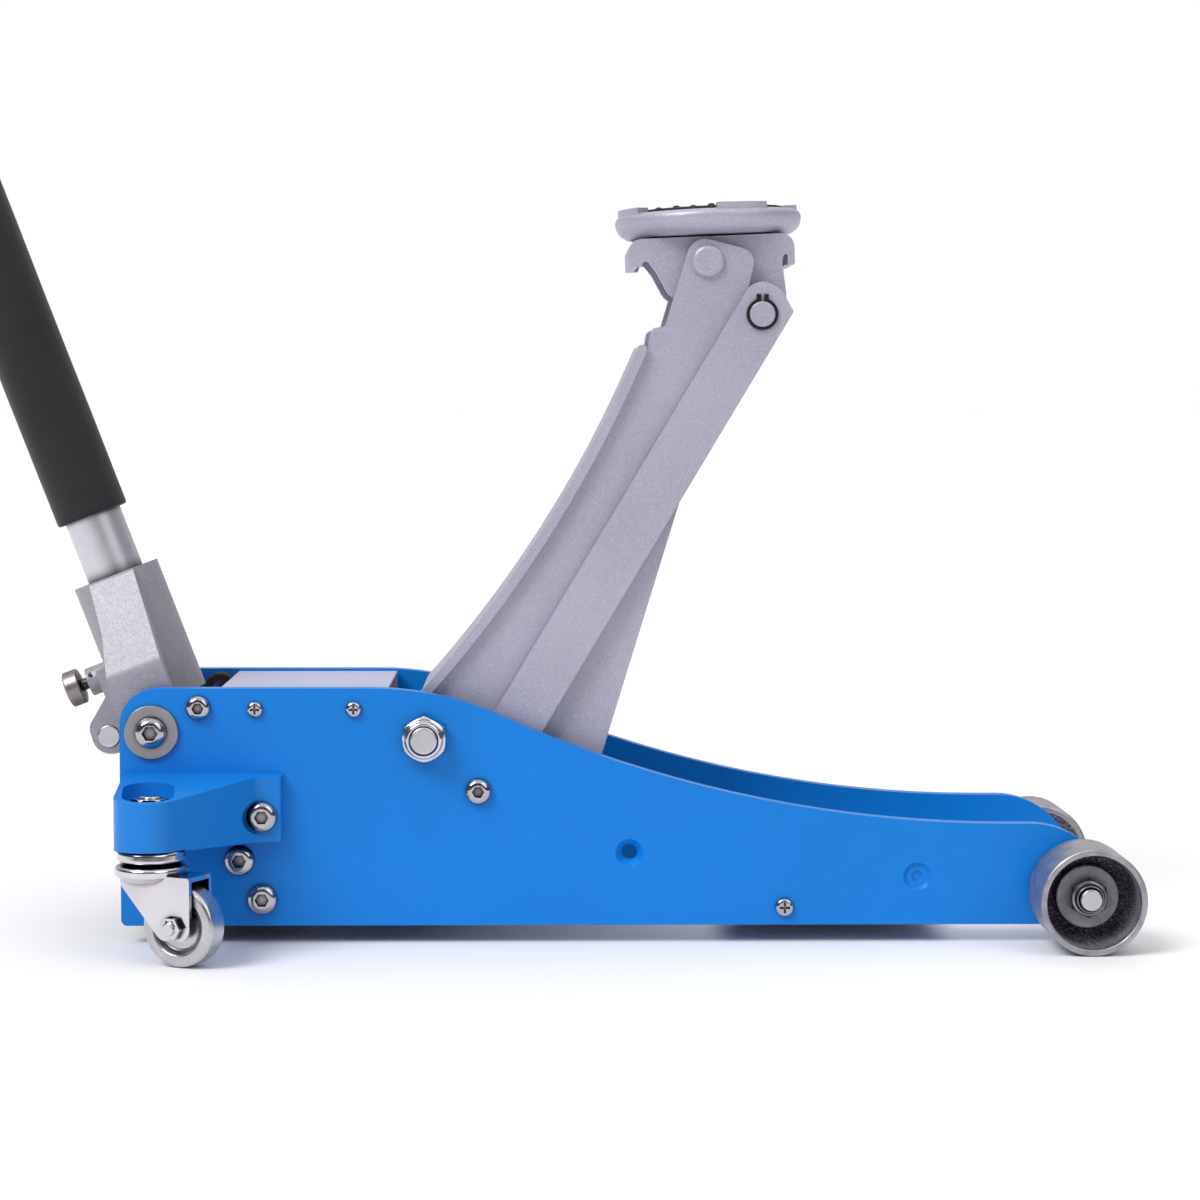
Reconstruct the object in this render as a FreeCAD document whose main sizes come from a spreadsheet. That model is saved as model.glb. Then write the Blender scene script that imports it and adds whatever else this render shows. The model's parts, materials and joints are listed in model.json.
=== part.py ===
import FreeCAD, Part
import math
import os
import re
import Sketcher

Vector = FreeCAD.Vector

# A low-profile trolley jack, raised. Millimetres, +Z up, the floor at Z = 0, +X to the nose,
# the right side at -Y.
# The plan names places from the plates' rear edge; every finished piece is then set back by origin_x,
# which puts the origin under the middle of the whole jack with its handle.

SIZES = {
    # chassis side plates
    "origin_x": 65.61, "plate_inner": 48, "plate_thick": 8, "plate_foot": 8.6, "plate_top": 122.5,
    "plate_length": 476.7, "nose_top": 57.2, "nose_round": 41.2, "toe_x": 297.4, "toe_round": 594,
    "shoulder_x": 151.4, "shoulder_round": 152, "tail_round": 18, "side_gap": 0.1, "running_gap": 0.05,
    # front rollers and axle
    "axle_x": 459.3, "axle_z": 25.2, "axle_radius": 6, "thread_radius": 5.3, "wheel_radius": 25.2,
    "wheel_inner": 58, "wheel_outer": 94, "wheel_rim": 22.2, "wheel_floor": 69, "hub_radius": 15,
    "hub_outer": 76, "axle_end": 87,
    # base plate, its screws and the spare countersunk hole
    "sunk_x": 381, "sunk_z": 31.8, "sunk_screw": 3, "sink_radius": 6.7, "sink_depth": 3.7,
    "spare_x": 242.8, "spare_z": 43.4, "spare_hole": 3.75, "base_x": 290, "base_length": 106,
    "base_height": 33, "base_thick": 1.6, "base_screw_x": 317.2, "base_screw_z": 17.2,
    "small_screw": 2.5,
    # lift linkage
    "arm_x": 144.9, "arm_z": 98.6, "rod_x": 170.5, "rod_z": 73.2, "arm_length": 264.7, "arm_rise": 59.2,
    "shaft_radius": 10, "shaft_thread": 6.5, "shaft_end": 68.5, "tube_radius": 13, "tube_end": 47.5,
    "arm_inner": 31, "arm_thick": 6, "web_reach": 41, "web_thick": 4.5, "stub_radius": 8,
    "stub_inner": 20, "stub_outer": 39.8, "crank_radius": 50, "crank_angle": 34.4, "ram_pin_radius": 7,
    "rod_inner": 38, "rod_thick": 6, "rod_half": 12.25, "rod_bolt": 4, "head_pin_radius": 6.1,
    "head_pin_end": 46, "pin_slack": 0.25,
    # head and saddle, measured from the saddle pivot
    "head_tilt": 2.5, "cheek_inner": 24.3, "cheek_thick": 6, "head_back": 37.8, "head_front": 42.2,
    "head_top": 12.3, "head_skin": 4, "lip_drop": 13.4, "post_radius": 9, "post_foot": 1, "post_x": 2.8,
    "saddle_floor": 13.2, "saddle_radius": 45.5, "saddle_rim": 25, "lug_top": 27.6,
    "recess_radius": 37.6, "recess_floor": 19, "pad_top": 28, "lug_width": 34, "lug_turn": 20,
    "retainer_radius": 13.5,
    # hydraulics
    "ram_z": 57.35, "ram_axis_z": 53, "ram_radius": 8, "piston_x": 88.4, "barrel_radius": 17,
    "bore_radius": 13, "barrel_back": 27, "barrel_front": 101.5, "block_back": 22, "block_front": 80,
    "block_foot": 12, "block_top": 82, "tank_radius": 28, "tank_front": 98, "tank_skin": 2,
    "slot_half": 7.9, "yoke_half": 12, "yoke_back": 14, "yoke_front": 13, "pump_x": 9, "pump_y": 20,
    "pump_barrel": 10, "pump_top": 52, "pump_foot": 12, "plunger_radius": 5, "plunger_foot": 35,
    "plunger_top": 84.2, "spring_radius": 8, "spring_y": 26, "spring_x": 84, "spring_z": 28,
    "return_radius": 4, "valve_ball": 6, "valve_radius": 4, "valve_reach": 32,
    # cover
    "cover_x": 46.5, "cover_end": 127, "cover_top": 121.5, "cover_skin": 1.5, "cover_drop": 104,
    "cover_screw_x": 64.4, "cover_screw_gap": 46.9, "cover_screw_z": 112.5,
    # handle socket and handle, measured up the leaning handle axis from the pivot
    "pivot_x": 15.2, "pivot_z": 101.6, "lean": 20.9, "pivot_radius": 6, "washer_radius": 12.9,
    "washer_thick": 2, "handle_offset": 3, "socket_foot": 10, "socket_top": 76, "socket_radius": 21.5,
    "tube_outer": 14, "tube_bore": 12, "cheek_outer": 45, "fork_thick": 7, "foot_radius": 14,
    "roller_back": 23.8, "roller_up": 4, "ear_radius": 8, "ear_inner": 26.5, "ear_thick": 5,
    "roller_pin": 5.5, "roller_radius": 9.5, "roller_inner": 14, "roller_width": 12, "screw_up": 30.75,
    "boss_radius": 7, "boss_end": 28.5, "knob_start": 32.5, "knob_end": 40, "knob_radius": 9,
    "groove_radius": 12.9, "groove_half": 2.8, "screw_tip": 10.2, "thread_hole": 3, "tube_foot": 12,
    "joint_up": 520, "spigot_foot": 440, "foam_foot": 107, "foam_top": 496, "foam_radius": 18,
    "upper_top": 996, "grip_foot": 860, "grip_top": 1000, "grip_radius": 16.5, "grip_round": 3,
    # caster brackets, stems, forks and wheels
    "swivel_x": 21, "swivel_y": 103, "bracket_foot": 53, "bracket_top": 75.8, "flange_end": 77.3,
    "flange_foot": 50, "flange_top": 82, "flange_thick": 8, "ear_round": 17, "sink_bore": 12,
    "sink_reach": 28, "sink_lean": 4.5, "sink_floor": 71, "stem_radius": 5, "race_radius": 16,
    "race_foot": 47.6, "fork_top": 47.2, "fork_plate": 40, "fork_skin": 2.2, "leg_inner": 7.2,
    "leg_thick": 2, "trail": 17.7, "caster_radius": 19, "caster_half": 6, "caster_axle": 3, "yaw": 27,
    # fasteners in the plates
    "stop_x": 37.5, "stop_z": 113.2, "stop_radius": 8, "stop_inner": 40, "lower_bolt_x": 56.6,
    "lower_bolt_z": 40.1, "foot_bolt_x": 67.4, "foot_bolt_z": 21.4, "bracket_bolt_x": 68.2,
    "bracket_bolt_z": 62.2, "block_bolt": 5, "bolt_depth": 18, "stop_bolt": 4,
}

doc = FreeCAD.newDocument("TrolleyJack")
sheet = doc.addObject("Spreadsheet::Sheet", "Dims")
for row, (alias, size) in enumerate(SIZES.items(), 1):
    sheet.set(f"A{row}", alias)
    sheet.set(f"B{row}", str(size))
    sheet.setAlias(f"B{row}", alias)
doc.recompute()

# Edges of the raised arm's side plate and of the web across its back, seen from the right:
# distance ahead of the plates' rear edge, height, rounding.
ARM_EDGE = [
    (253.4, 294.2, 3), (260, 294.6, 3), (273, 338.6, 9), (303.6, 330.6, 7), (299.9, 314, 6),
    (265.9, 206.8, 200), (229, 86, 60), (221, 62, 12), (187, 43, 14), (164, 43, 12), (128.6, 82, 14),
    (128.6, 105, 9), (146.8, 117.5, 0), (212.4, 193, 604.5), (251.9, 284.8, 0),
]
WEB_EDGE = [
    (143, 119.8, 0), (208.6, 195.2, 600), (247.9, 286.9, "web_thick / 2 - 0.1"),
    (251.9, 284.8, "web_thick / 2 - 0.1"), (212.4, 193, "600 + web_thick"), (146.8, 117.5, 0),
]

finished = []


# ---------------------------------------------------------------- making shapes from the sheet

def bound(formula):
    """The formula with each size name turned into a reference to the sheet."""
    return re.sub(r"[a-z_]+", lambda word: sheet_name(word.group()), str(formula))


def sheet_name(word):
    """A size's full name in the document; any other word, such as cos, stays as it is."""
    return f"Dims.{word}" if word in SIZES else word


def number(formula):
    """What the formula comes to with the sheet as it stands."""
    return float(sheet.evalExpression(bound(formula)))


def origin_plane(body, role):
    """One of the body's own origin planes."""
    return next(plane for plane in body.Origin.OriginFeatures if plane.Role == role)


def new_sketch(body, plane, start):
    """An empty sketch on one of the body's planes, moved along the plane's normal to start."""
    sketch = body.newObject("Sketcher::SketchObject", body.Name + "_sketch")
    sketch.AttachmentSupport = (origin_plane(body, plane), [""])
    sketch.MapMode = "FlatFace"
    sketch.setExpression("AttachmentOffset.Base.z", bound(start))
    return sketch


def bind_point(sketch, geometry, place, across, up):
    """Hold a point of the sketch at two formulas from its origin."""
    for kind, formula in (("DistanceX", across), ("DistanceY", up)):
        at = sketch.addConstraint(Sketcher.Constraint(kind, -1, 1, geometry, place, number(formula)))
        sketch.setExpression(f"Constraints[{at}]", bound(formula))


def draw_outline(sketch, corners):
    """A closed outline through the corners, each given as across, up and rounding."""
    points = [Vector(number(across), number(up), 0) for across, up, _ in corners]
    count = len(points)
    begins, ends, middles = [], [], []
    for at, point in enumerate(points):
        back = (points[at - 1] - point).normalize()
        ahead = (points[(at + 1) % count] - point).normalize()
        radius = number(corners[at][2])
        half = back.getAngle(ahead) / 2
        reach = radius / math.tan(half)
        begins.append(point + back * reach)
        ends.append(point + ahead * reach)
        middles.append(point + (back + ahead).normalize() * (radius / math.sin(half)))
    first = sketch.GeometryCount
    for at in range(count):
        sketch.addGeometry(Part.LineSegment(ends[at], begins[(at + 1) % count]), False)
    for at, (across, up, rounding) in enumerate(corners):
        before = first + (at - 1) % count
        after = first + at
        if number(rounding) == 0:
            sketch.addConstraint(Sketcher.Constraint("Coincident", before, 2, after, 1))
            bind_point(sketch, after, 1, across, up)
            continue
        left_turn = (begins[at] - ends[at - 1]).cross(begins[(at + 1) % count] - ends[at]).z > 0
        start, stop = (begins[at], ends[at]) if left_turn else (ends[at], begins[at])
        angles = [math.atan2(end.y - middles[at].y, end.x - middles[at].x) for end in (start, stop)]
        circle = Part.Circle(middles[at], Vector(0, 0, 1), number(rounding))
        arc = sketch.addGeometry(Part.ArcOfCircle(circle, *angles), False)
        corner = sketch.addGeometry(Part.Point(points[at]), True)
        bind_point(sketch, corner, 1, across, up)
        sketch.addConstraint([
            Sketcher.Constraint("PointOnObject", corner, 1, before),
            Sketcher.Constraint("PointOnObject", corner, 1, after),
            Sketcher.Constraint("Tangent", before, 2, arc, 1 if left_turn else 2),
            Sketcher.Constraint("Tangent", after, 1, arc, 2 if left_turn else 1)])
        held = sketch.addConstraint(Sketcher.Constraint("Radius", arc, number(rounding)))
        sketch.setExpression(f"Constraints[{held}]", bound(rounding))


def draw_circle(sketch, across, up, radius):
    """A circle held at two formulas, with its radius held by a third."""
    middle = Vector(number(across), number(up), 0)
    circle = sketch.addGeometry(Part.Circle(middle, Vector(0, 0, 1), number(radius)), False)
    bind_point(sketch, circle, 3, across, up)
    held = sketch.addConstraint(Sketcher.Constraint("Radius", circle, number(radius)))
    sketch.setExpression(f"Constraints[{held}]", bound(radius))


def pad(name, plane, corners, holes, start, length):
    """A body with one outline, its round holes, and its thickness along the plane's normal."""
    body = doc.addObject("PartDesign::Body", name)
    sketch = new_sketch(body, plane, start)
    draw_outline(sketch, corners)
    for hole in holes:
        draw_circle(sketch, *hole)
    feature = body.newObject("PartDesign::Pad", name + "_pad")
    feature.Profile = sketch
    feature.setExpression("Length", bound(length))
    return body


def turned(name, corners, plane="XZ_Plane"):
    """A body turned about its Z axis (or its Y axis on XY_Plane) from radius, along and rounding."""
    body = doc.addObject("PartDesign::Body", name)
    sketch = new_sketch(body, plane, 0)
    draw_outline(sketch, corners)
    feature = body.newObject("PartDesign::Revolution", name + "_turn")
    feature.Profile = sketch
    feature.ReferenceAxis = (sketch, ["V_Axis"])
    return body


def primitive(kind, name, sizes, at=(0, 0, 0), axis=(0, 0, 1), angle=0):
    """A Part primitive with its sizes and its place bound to the sheet."""
    piece = doc.addObject("Part::" + kind, name)
    for key, formula in sizes.items():
        piece.setExpression(key, bound(formula))
    return place(piece, at, axis, angle)


def place(piece, at, axis=(0, 0, 1), angle=0):
    """Set and bind a piece's Placement."""
    turn = FreeCAD.Rotation(Vector(*axis), number(angle))
    piece.Placement = FreeCAD.Placement(Vector(*[number(formula) for formula in at]), turn)
    for letter, formula in zip("xyz", at):
        piece.setExpression(f".Placement.Base.{letter}", bound(formula))
    if number(angle):
        piece.setExpression(".Placement.Rotation.Angle", bound(angle))
    return piece


def cylinder(name, radius, height, at=(0, 0, 0), axis=(0, 0, 1), angle=0):
    return primitive("Cylinder", name, {"Radius": radius, "Height": height}, at, axis, angle)


def box(name, low, size):
    return primitive("Box", name, dict(zip(("Length", "Width", "Height"), size)), low)


def hexagon(name, radius, height, at):
    """A six-sided prism standing along Z; radius is to its corners."""
    prism = primitive("Prism", name, {"Circumradius": radius, "Height": height}, at)
    prism.Polygon = 6
    return prism


def joined(kind, name, base, *tools):
    """Base with each tool cut from it, fused to it or kept in common, one after another."""
    for at, tool in enumerate(tools):
        result = doc.addObject("Part::" + kind, f"{name}_{kind.lower()}_{at}")
        result.Base = base
        result.Tool = tool
        base = result
    return base


def mirrored(piece):
    """The same piece on the other side of the jack."""
    copy = doc.addObject("Part::Mirroring", piece.Name + "_mirror")
    copy.Source = piece
    copy.Normal = (0, 1, 0)
    return copy


def group(name, pieces):
    """Several separate solids kept as one node."""
    compound = doc.addObject("Part::Compound", name + "_group")
    compound.Links = pieces
    return compound


def keep(label, piece):
    """Name a finished sub-part."""
    piece.Label = label
    finished.append(piece)
    return piece


def set_back(piece, x="0", y="0", z="0", axis=(0, 0, 1), angle=0):
    """Place a finished piece, drawn from the plates' rear edge, in the jack's own frame."""
    return place(piece, (f"{x} - origin_x", y, z), axis, angle)


def along_y(piece, x, z):
    """Lay a turned piece's axis across the jack, its far end to the right."""
    return set_back(piece, x, "0", z, (1, 0, 0), 90)


def both_sides(label, pieces):
    """Keep the right-hand pieces and their mirror images as one node."""
    return keep(label, group(label, pieces + [mirrored(piece) for piece in pieces]))


# ---------------------------------------------------------------- fasteners

def button_bolt(name, head, rise, seat, shank, end, socket):
    """A button-head bolt along Z: head radius and rise over its seat, shank down to end, hex socket."""
    bolt = turned(name, [(0, end, 0), (shank, end, 0), (shank, seat, 0), (head, seat, 0),
                         (head, f"{seat} + {rise}", f"{rise} * 0.8"), (0, f"{seat} + {rise}", 0)])
    recess = hexagon(name + "_socket", socket, rise, (0, 0, f"{seat} + {rise} * 0.45"))
    return joined("Cut", name, bolt, recess)


def pan_screw(name, head, rise, seat, shank, end):
    """A cross-recessed pan-head screw along Z."""
    screw = turned(name, [(0, end, 0), (shank, end, 0), (shank, seat, 0), (head, seat, 0),
                          (head, f"{seat} + {rise}", f"{rise} * 0.7"), (0, f"{seat} + {rise}", 0)])
    slots = []
    for at, (long, wide) in enumerate(((f"{head} * 1.1", f"{head} * 0.26"),
                                       (f"{head} * 0.26", f"{head} * 1.1"))):
        low = (f"-({long}) / 2", f"-({wide}) / 2", f"{seat} + {rise} * 0.5")
        slots.append(box(f"{name}_slot_{at}", low, (long, wide, rise)))
    return joined("Cut", name, screw, *slots)


def nut(name, corner, foot, top, bore):
    """A hexagon nut along Z with its corners chamfered at both ends."""
    blank = turned(name, [(bore, foot, 0), (f"{corner} * 0.9", foot, 0), (corner, f"{foot} + 1", 0),
                          (corner, f"{top} - 1", 0), (f"{corner} * 0.9", top, 0), (bore, top, 0)])
    prism = hexagon(name + "_hexagon", corner, f"{top} - {foot}", (0, 0, foot))
    return joined("Common", name, blank, prism)


# ---------------------------------------------------------------- chassis

def make_side_plates():
    outline = [(0, "plate_foot", 3), ("plate_length", "plate_foot", 5),
               ("plate_length", "nose_top", "nose_round"),
               ("toe_x", "nose_top", "toe_round"), ("shoulder_x", "plate_top", "shoulder_round"),
               (0, "plate_top", "tail_round")]
    holes = [("pivot_x", "pivot_z", "pivot_radius"), ("stop_x", "stop_z", "stop_bolt"),
             ("lower_bolt_x", "lower_bolt_z", "block_bolt"),
             ("foot_bolt_x", "foot_bolt_z", "block_bolt"),
             ("bracket_bolt_x", "bracket_bolt_z", "block_bolt"), ("arm_x", "arm_z", "shaft_thread"),
             ("rod_x", "rod_z", "rod_bolt"), ("spare_x", "spare_z", "spare_hole"),
             ("sunk_x", "sunk_z", "sunk_screw"), ("base_screw_x", "base_screw_z", "small_screw"),
             ("axle_x", "axle_z", "axle_radius"), ("cover_screw_x", "cover_screw_z", "small_screw"),
             ("cover_screw_x + cover_screw_gap", "cover_screw_z", "small_screw")]
    blank = pad("side_plate", "XZ_Plane", outline, holes, "plate_inner", "plate_thick")
    sinks = []
    for name, x, z, hole in (("screw", "sunk_x", "sunk_z", "sunk_screw"),
                             ("spare", "spare_x", "spare_z", "spare_hole")):
        sizes = {"Radius1": hole, "Radius2": "sink_radius", "Height": "sink_depth"}
        at = (x, "-(plate_inner + plate_thick - sink_depth)", z)
        sinks.append(primitive("Cone", name + "_sink", sizes, at, (1, 0, 0), 90))
    right = keep("right_side_plate", set_back(joined("Cut", "side_plate", blank, *sinks)))
    keep("left_side_plate", mirrored(right))


def make_front_axle():
    half = [("thread_radius", "axle_end", 1), ("thread_radius", "hub_outer", 0),
            ("axle_radius", "hub_outer", 0)]
    other = [(radius, f"-({along})", rounding) for radius, along, rounding in reversed(half)]
    axle = turned("front_axle", [(0, "axle_end", 0)] + half + other + [(0, "-axle_end", 0)])
    keep("front_axle", along_y(axle, "axle_x", "axle_z"))
    end_nut = nut("axle_nut", "10.4", "hub_outer + 0.6", "axle_end - 2.5", "thread_radius")
    both_sides("front_axle_nuts", [along_y(end_nut, "axle_x", "axle_z")])


def make_front_wheels():
    outline = [("axle_radius + running_gap", "wheel_inner", 0), ("wheel_radius", "wheel_inner", 2),
               ("wheel_radius", "wheel_outer", 1.2), ("wheel_rim", "wheel_outer", 0.8),
               ("wheel_rim - 1.2", "wheel_floor", 3), ("hub_radius", "wheel_floor", 1.5),
               ("hub_radius", "hub_outer", 1), ("axle_radius + running_gap", "hub_outer", 0)]
    right = along_y(turned("front_wheel", outline), "axle_x", "axle_z")
    keep("front_wheel_right", right)
    keep("front_wheel_left", mirrored(right))


def make_base_plate():
    reach = "plate_inner - side_gap"
    low = "plate_foot + 0.5"
    inside = f"{low} + base_thick"
    section = [(f"-({reach})", low, 3), (reach, low, 3), (reach, f"{low} + base_height", 0),
               (f"{reach} - base_thick", f"{low} + base_height", 0),
               (f"{reach} - base_thick", inside, 1.4),
               (f"base_thick - ({reach})", inside, 1.4),
               (f"base_thick - ({reach})", f"{low} + base_height", 0),
               (f"-({reach})", f"{low} + base_height", 0)]
    folded = pad("base_sheet", "YZ_Plane", section, [], "base_x", "base_length")
    drills = [cylinder("base_drill", "small_screw", "plate_inner * 2",
                       ("base_screw_x", "plate_inner", "base_screw_z"),
                       (1, 0, 0), 90),
              cylinder("sunk_drill", "sunk_screw", "plate_inner * 2",
                       ("sunk_x", "plate_inner", "sunk_z"),
                       (1, 0, 0), 90)]
    keep("base_plate", set_back(joined("Cut", "base_plate_drilled", folded, *drills)))
    screw = pan_screw("base_screw", "4.5", "2.8", "plate_inner + plate_thick", "small_screw", "44.5")
    both_sides("base_plate_screws", [along_y(screw, "base_screw_x", "base_screw_z")])
    neck = "plate_inner + plate_thick - sink_depth"
    sunk = turned("sunk_screw_piece", [(0, 44.5, 0), ("sunk_screw", 44.5, 0), ("sunk_screw", neck, 0),
                                       ("sunk_screw + 2.2", f"{neck} + 2.2", 0),
                                       (2.6, f"{neck} + 2.2", 0.3),
                                       (2.2, f"{neck} + 1.2", 0), (0, f"{neck} + 1.2", 0)])
    both_sides("sunk_screws", [along_y(sunk, "sunk_x", "sunk_z")])


def make_cover():
    reach = "plate_inner - side_gap"
    under = "cover_top - cover_skin"
    section = [(f"-({reach})", "cover_drop", 0), (f"cover_skin - ({reach})", "cover_drop", 0),
               (f"cover_skin - ({reach})", under, 1), (f"{reach} - cover_skin", under, 1),
               (f"{reach} - cover_skin", "cover_drop", 0), (reach, "cover_drop", 0),
               (reach, "cover_top", 2.4), (f"-({reach})", "cover_top", 2.4)]
    folded = pad("cover", "YZ_Plane", section, [], "cover_x", "cover_end - cover_x")
    drills = []
    screws = []
    for at, x in enumerate(("cover_screw_x", "cover_screw_x + cover_screw_gap")):
        drills.append(cylinder(f"cover_drill_{at}", "small_screw", "plate_inner * 2",
                               (x, "plate_inner", "cover_screw_z"), (1, 0, 0), 90))
        screw = pan_screw(f"cover_screw_{at}", "3.9", "2.6", "plate_inner + plate_thick",
                          "small_screw", "44")
        screws.append(along_y(screw, x, "cover_screw_z"))
    keep("top_cover", set_back(joined("Cut", "cover", folded, *drills)))
    both_sides("cover_screws", screws)


def make_caster_brackets():
    flange_face = "-(plate_inner + plate_thick)"
    flange_outer = f"{flange_face} - flange_thick"
    outer = "-(swivel_y + ear_round)"
    outline = [(2, flange_face, 0), (4, "-swivel_y", 0), (4, outer, "ear_round * 0.98"),
               ("swivel_x + 6.5", outer, 12), ("flange_end - 11.3", flange_outer, 4),
               ("flange_end", flange_outer, 1.5), ("flange_end", flange_face, 0)]
    blank = pad("bracket", "XY_Plane", outline, [], 40, 50)
    over = pad("bracket_over", "YZ_Plane", [("1 - plate_inner", "flange_top + 0.9", 0),
                                            (f"{outer} - 10", "bracket_top - 1.1", 0),
                                            (f"{outer} - 10", 99, 0), ("1 - plate_inner", 99, 0)],
               [], -10, 110)
    under = pad("bracket_under", "YZ_Plane", [("1 - plate_inner", "flange_foot - 0.9", 0),
                                              ("1 - plate_inner", 30, 0), (f"{outer} - 10", 30, 0),
                                              (f"{outer} - 10", "bracket_foot + 0.9", 0)],
                [], -10, 110)
    seat = cylinder("bracket_seat", "race_radius + 0.6", 20,
                    ("swivel_x", "-swivel_y", "bracket_foot - 20"))
    sink = [("swivel_x - sink_bore", "-(swivel_y + sink_bore)", "sink_bore - 0.5"),
            ("swivel_x + sink_bore", "-(swivel_y + sink_bore)", "sink_bore - 0.5"),
            ("swivel_x + sink_bore - sink_lean", "sink_reach - swivel_y", "sink_bore - 0.5"),
            ("swivel_x - sink_bore - sink_lean", "sink_reach - swivel_y", "sink_bore - 0.5")]
    pocket = pad("bracket_pocket", "XY_Plane", sink, [], "sink_floor", 30)
    stem_hole = cylinder("bracket_stem_hole", "stem_radius", 60, ("swivel_x", "-swivel_y", 40))
    bolt_sink = cylinder("bracket_bolt_sink", 8.6, 40, ("bracket_bolt_x", flange_outer, "bracket_bolt_z"),
                         (1, 0, 0), 90)
    bolt_hole = cylinder("bracket_bolt_hole", "block_bolt", 30, ("bracket_bolt_x", -50, "bracket_bolt_z"),
                         (1, 0, 0), 90)
    bracket = joined("Cut", "bracket", blank, over, under, seat, pocket, stem_hole, bolt_sink, bolt_hole)
    right = keep("caster_bracket_right", set_back(bracket))
    keep("caster_bracket_left", mirrored(right))


def make_plate_bolts():
    face = "plate_inner + plate_thick"
    spots = [("lower_bolt", "lower_bolt_x", "lower_bolt_z", face),
             ("foot_bolt", "foot_bolt_x", "foot_bolt_z", face),
             ("bracket_bolt", "bracket_bolt_x", "bracket_bolt_z", f"{face} + flange_thick")]
    bolts = []
    for name, x, z, seat in spots:
        bolt = button_bolt(name, "7.4", "4.2", seat, "block_bolt", "30", "3.4")
        bolts.append(along_y(bolt, x, z))
    both_sides("block_bolts", bolts)
    bolt = button_bolt("stop_bolt_piece", "6", "3.8", face, "stop_bolt", "stop_inner", "2.8")
    both_sides("stop_bolts", [along_y(bolt, "stop_x", "stop_z")])
    stop = turned("stop", [("stop_bolt", "stop_inner", 0), ("stop_radius", "stop_inner", 1.5),
                           ("stop_radius", "plate_inner", 0.5), ("stop_bolt", "plate_inner", 0)])
    both_sides("socket_stops", [along_y(stop, "stop_x", "stop_z")])
    bolt = button_bolt("pivot_bolt", "7.5", "4.8", f"{face} + washer_thick", "pivot_radius", "37",
                       "3.8")
    both_sides("handle_pivot_bolts", [along_y(bolt, "pivot_x", "pivot_z")])
    bolt = button_bolt("rod_bolt_piece", "6.4", "4.2", face, "rod_bolt", "37.6", "2.9")
    both_sides("rod_pivot_bolts", [along_y(bolt, "rod_x", "rod_z")])
    washer = turned("pivot_washer", [("pivot_radius", face, 0), ("washer_radius", face, 0),
                                     ("washer_radius", f"{face} + washer_thick", 0.5),
                                     ("pivot_radius", f"{face} + washer_thick", 0)])
    spacer = turned("rod_spacer", [("rod_bolt", "rod_inner + rod_thick + side_gap", 0),
                                   (9, "rod_inner + rod_thick + side_gap", 0), (9, "plate_inner", 0),
                                   ("rod_bolt", "plate_inner", 0)])
    both_sides("pivot_washers", [along_y(washer, "pivot_x", "pivot_z"),
                                 along_y(spacer, "rod_x", "rod_z")])


def make_arm_shaft():
    shoulder = "plate_inner"
    half = [("shaft_thread", "shaft_end", 1), ("shaft_thread", shoulder, 0),
            ("shaft_radius", shoulder, 0)]
    other = [(radius, f"-({along})", rounding) for radius, along, rounding in reversed(half)]
    shaft = turned("shaft", [(0, "shaft_end", 0)] + half + other + [(0, "-shaft_end", 0)])
    keep("arm_shaft", along_y(shaft, "arm_x", "arm_z"))
    face = "plate_inner + plate_thick"
    body = nut("shaft_nut", "12.4", face, f"{face} + 8.5", "shaft_thread")
    collar = turned("shaft_nut_collar", [("shaft_thread", f"{face} + 8", 0), (9.6, f"{face} + 8", 0),
                                         (9.6, f"{face} + 11.2", 1.6),
                                         ("shaft_thread", f"{face} + 11.2", 0)])
    both_sides("arm_shaft_nuts", [along_y(joined("Fuse", "shaft_nut", body, collar), "arm_x", "arm_z")])


def make_caster_stems():
    stem = turned("stem", [(0, 36.4, 0), (7.5, 36.4, 1.2), (7.5, 38.2, 0), ("stem_radius", 38.2, 0),
                           ("stem_radius", "race_foot", 0), ("race_radius", "race_foot", 1.6),
                           ("race_radius - 0.5", "bracket_foot", 2), ("stem_radius", "bracket_foot", 0),
                           ("stem_radius", 77.5, 0.8), (0, 77.5, 0)])
    top_nut = nut("stem_nut", "9", "sink_floor", "sink_floor + 5.5", "stem_radius")
    both_sides("caster_stems", [set_back(joined("Fuse", "stem", stem, top_nut), "swivel_x",
                                         "-swivel_y")])


# ---------------------------------------------------------------- hydraulics

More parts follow.
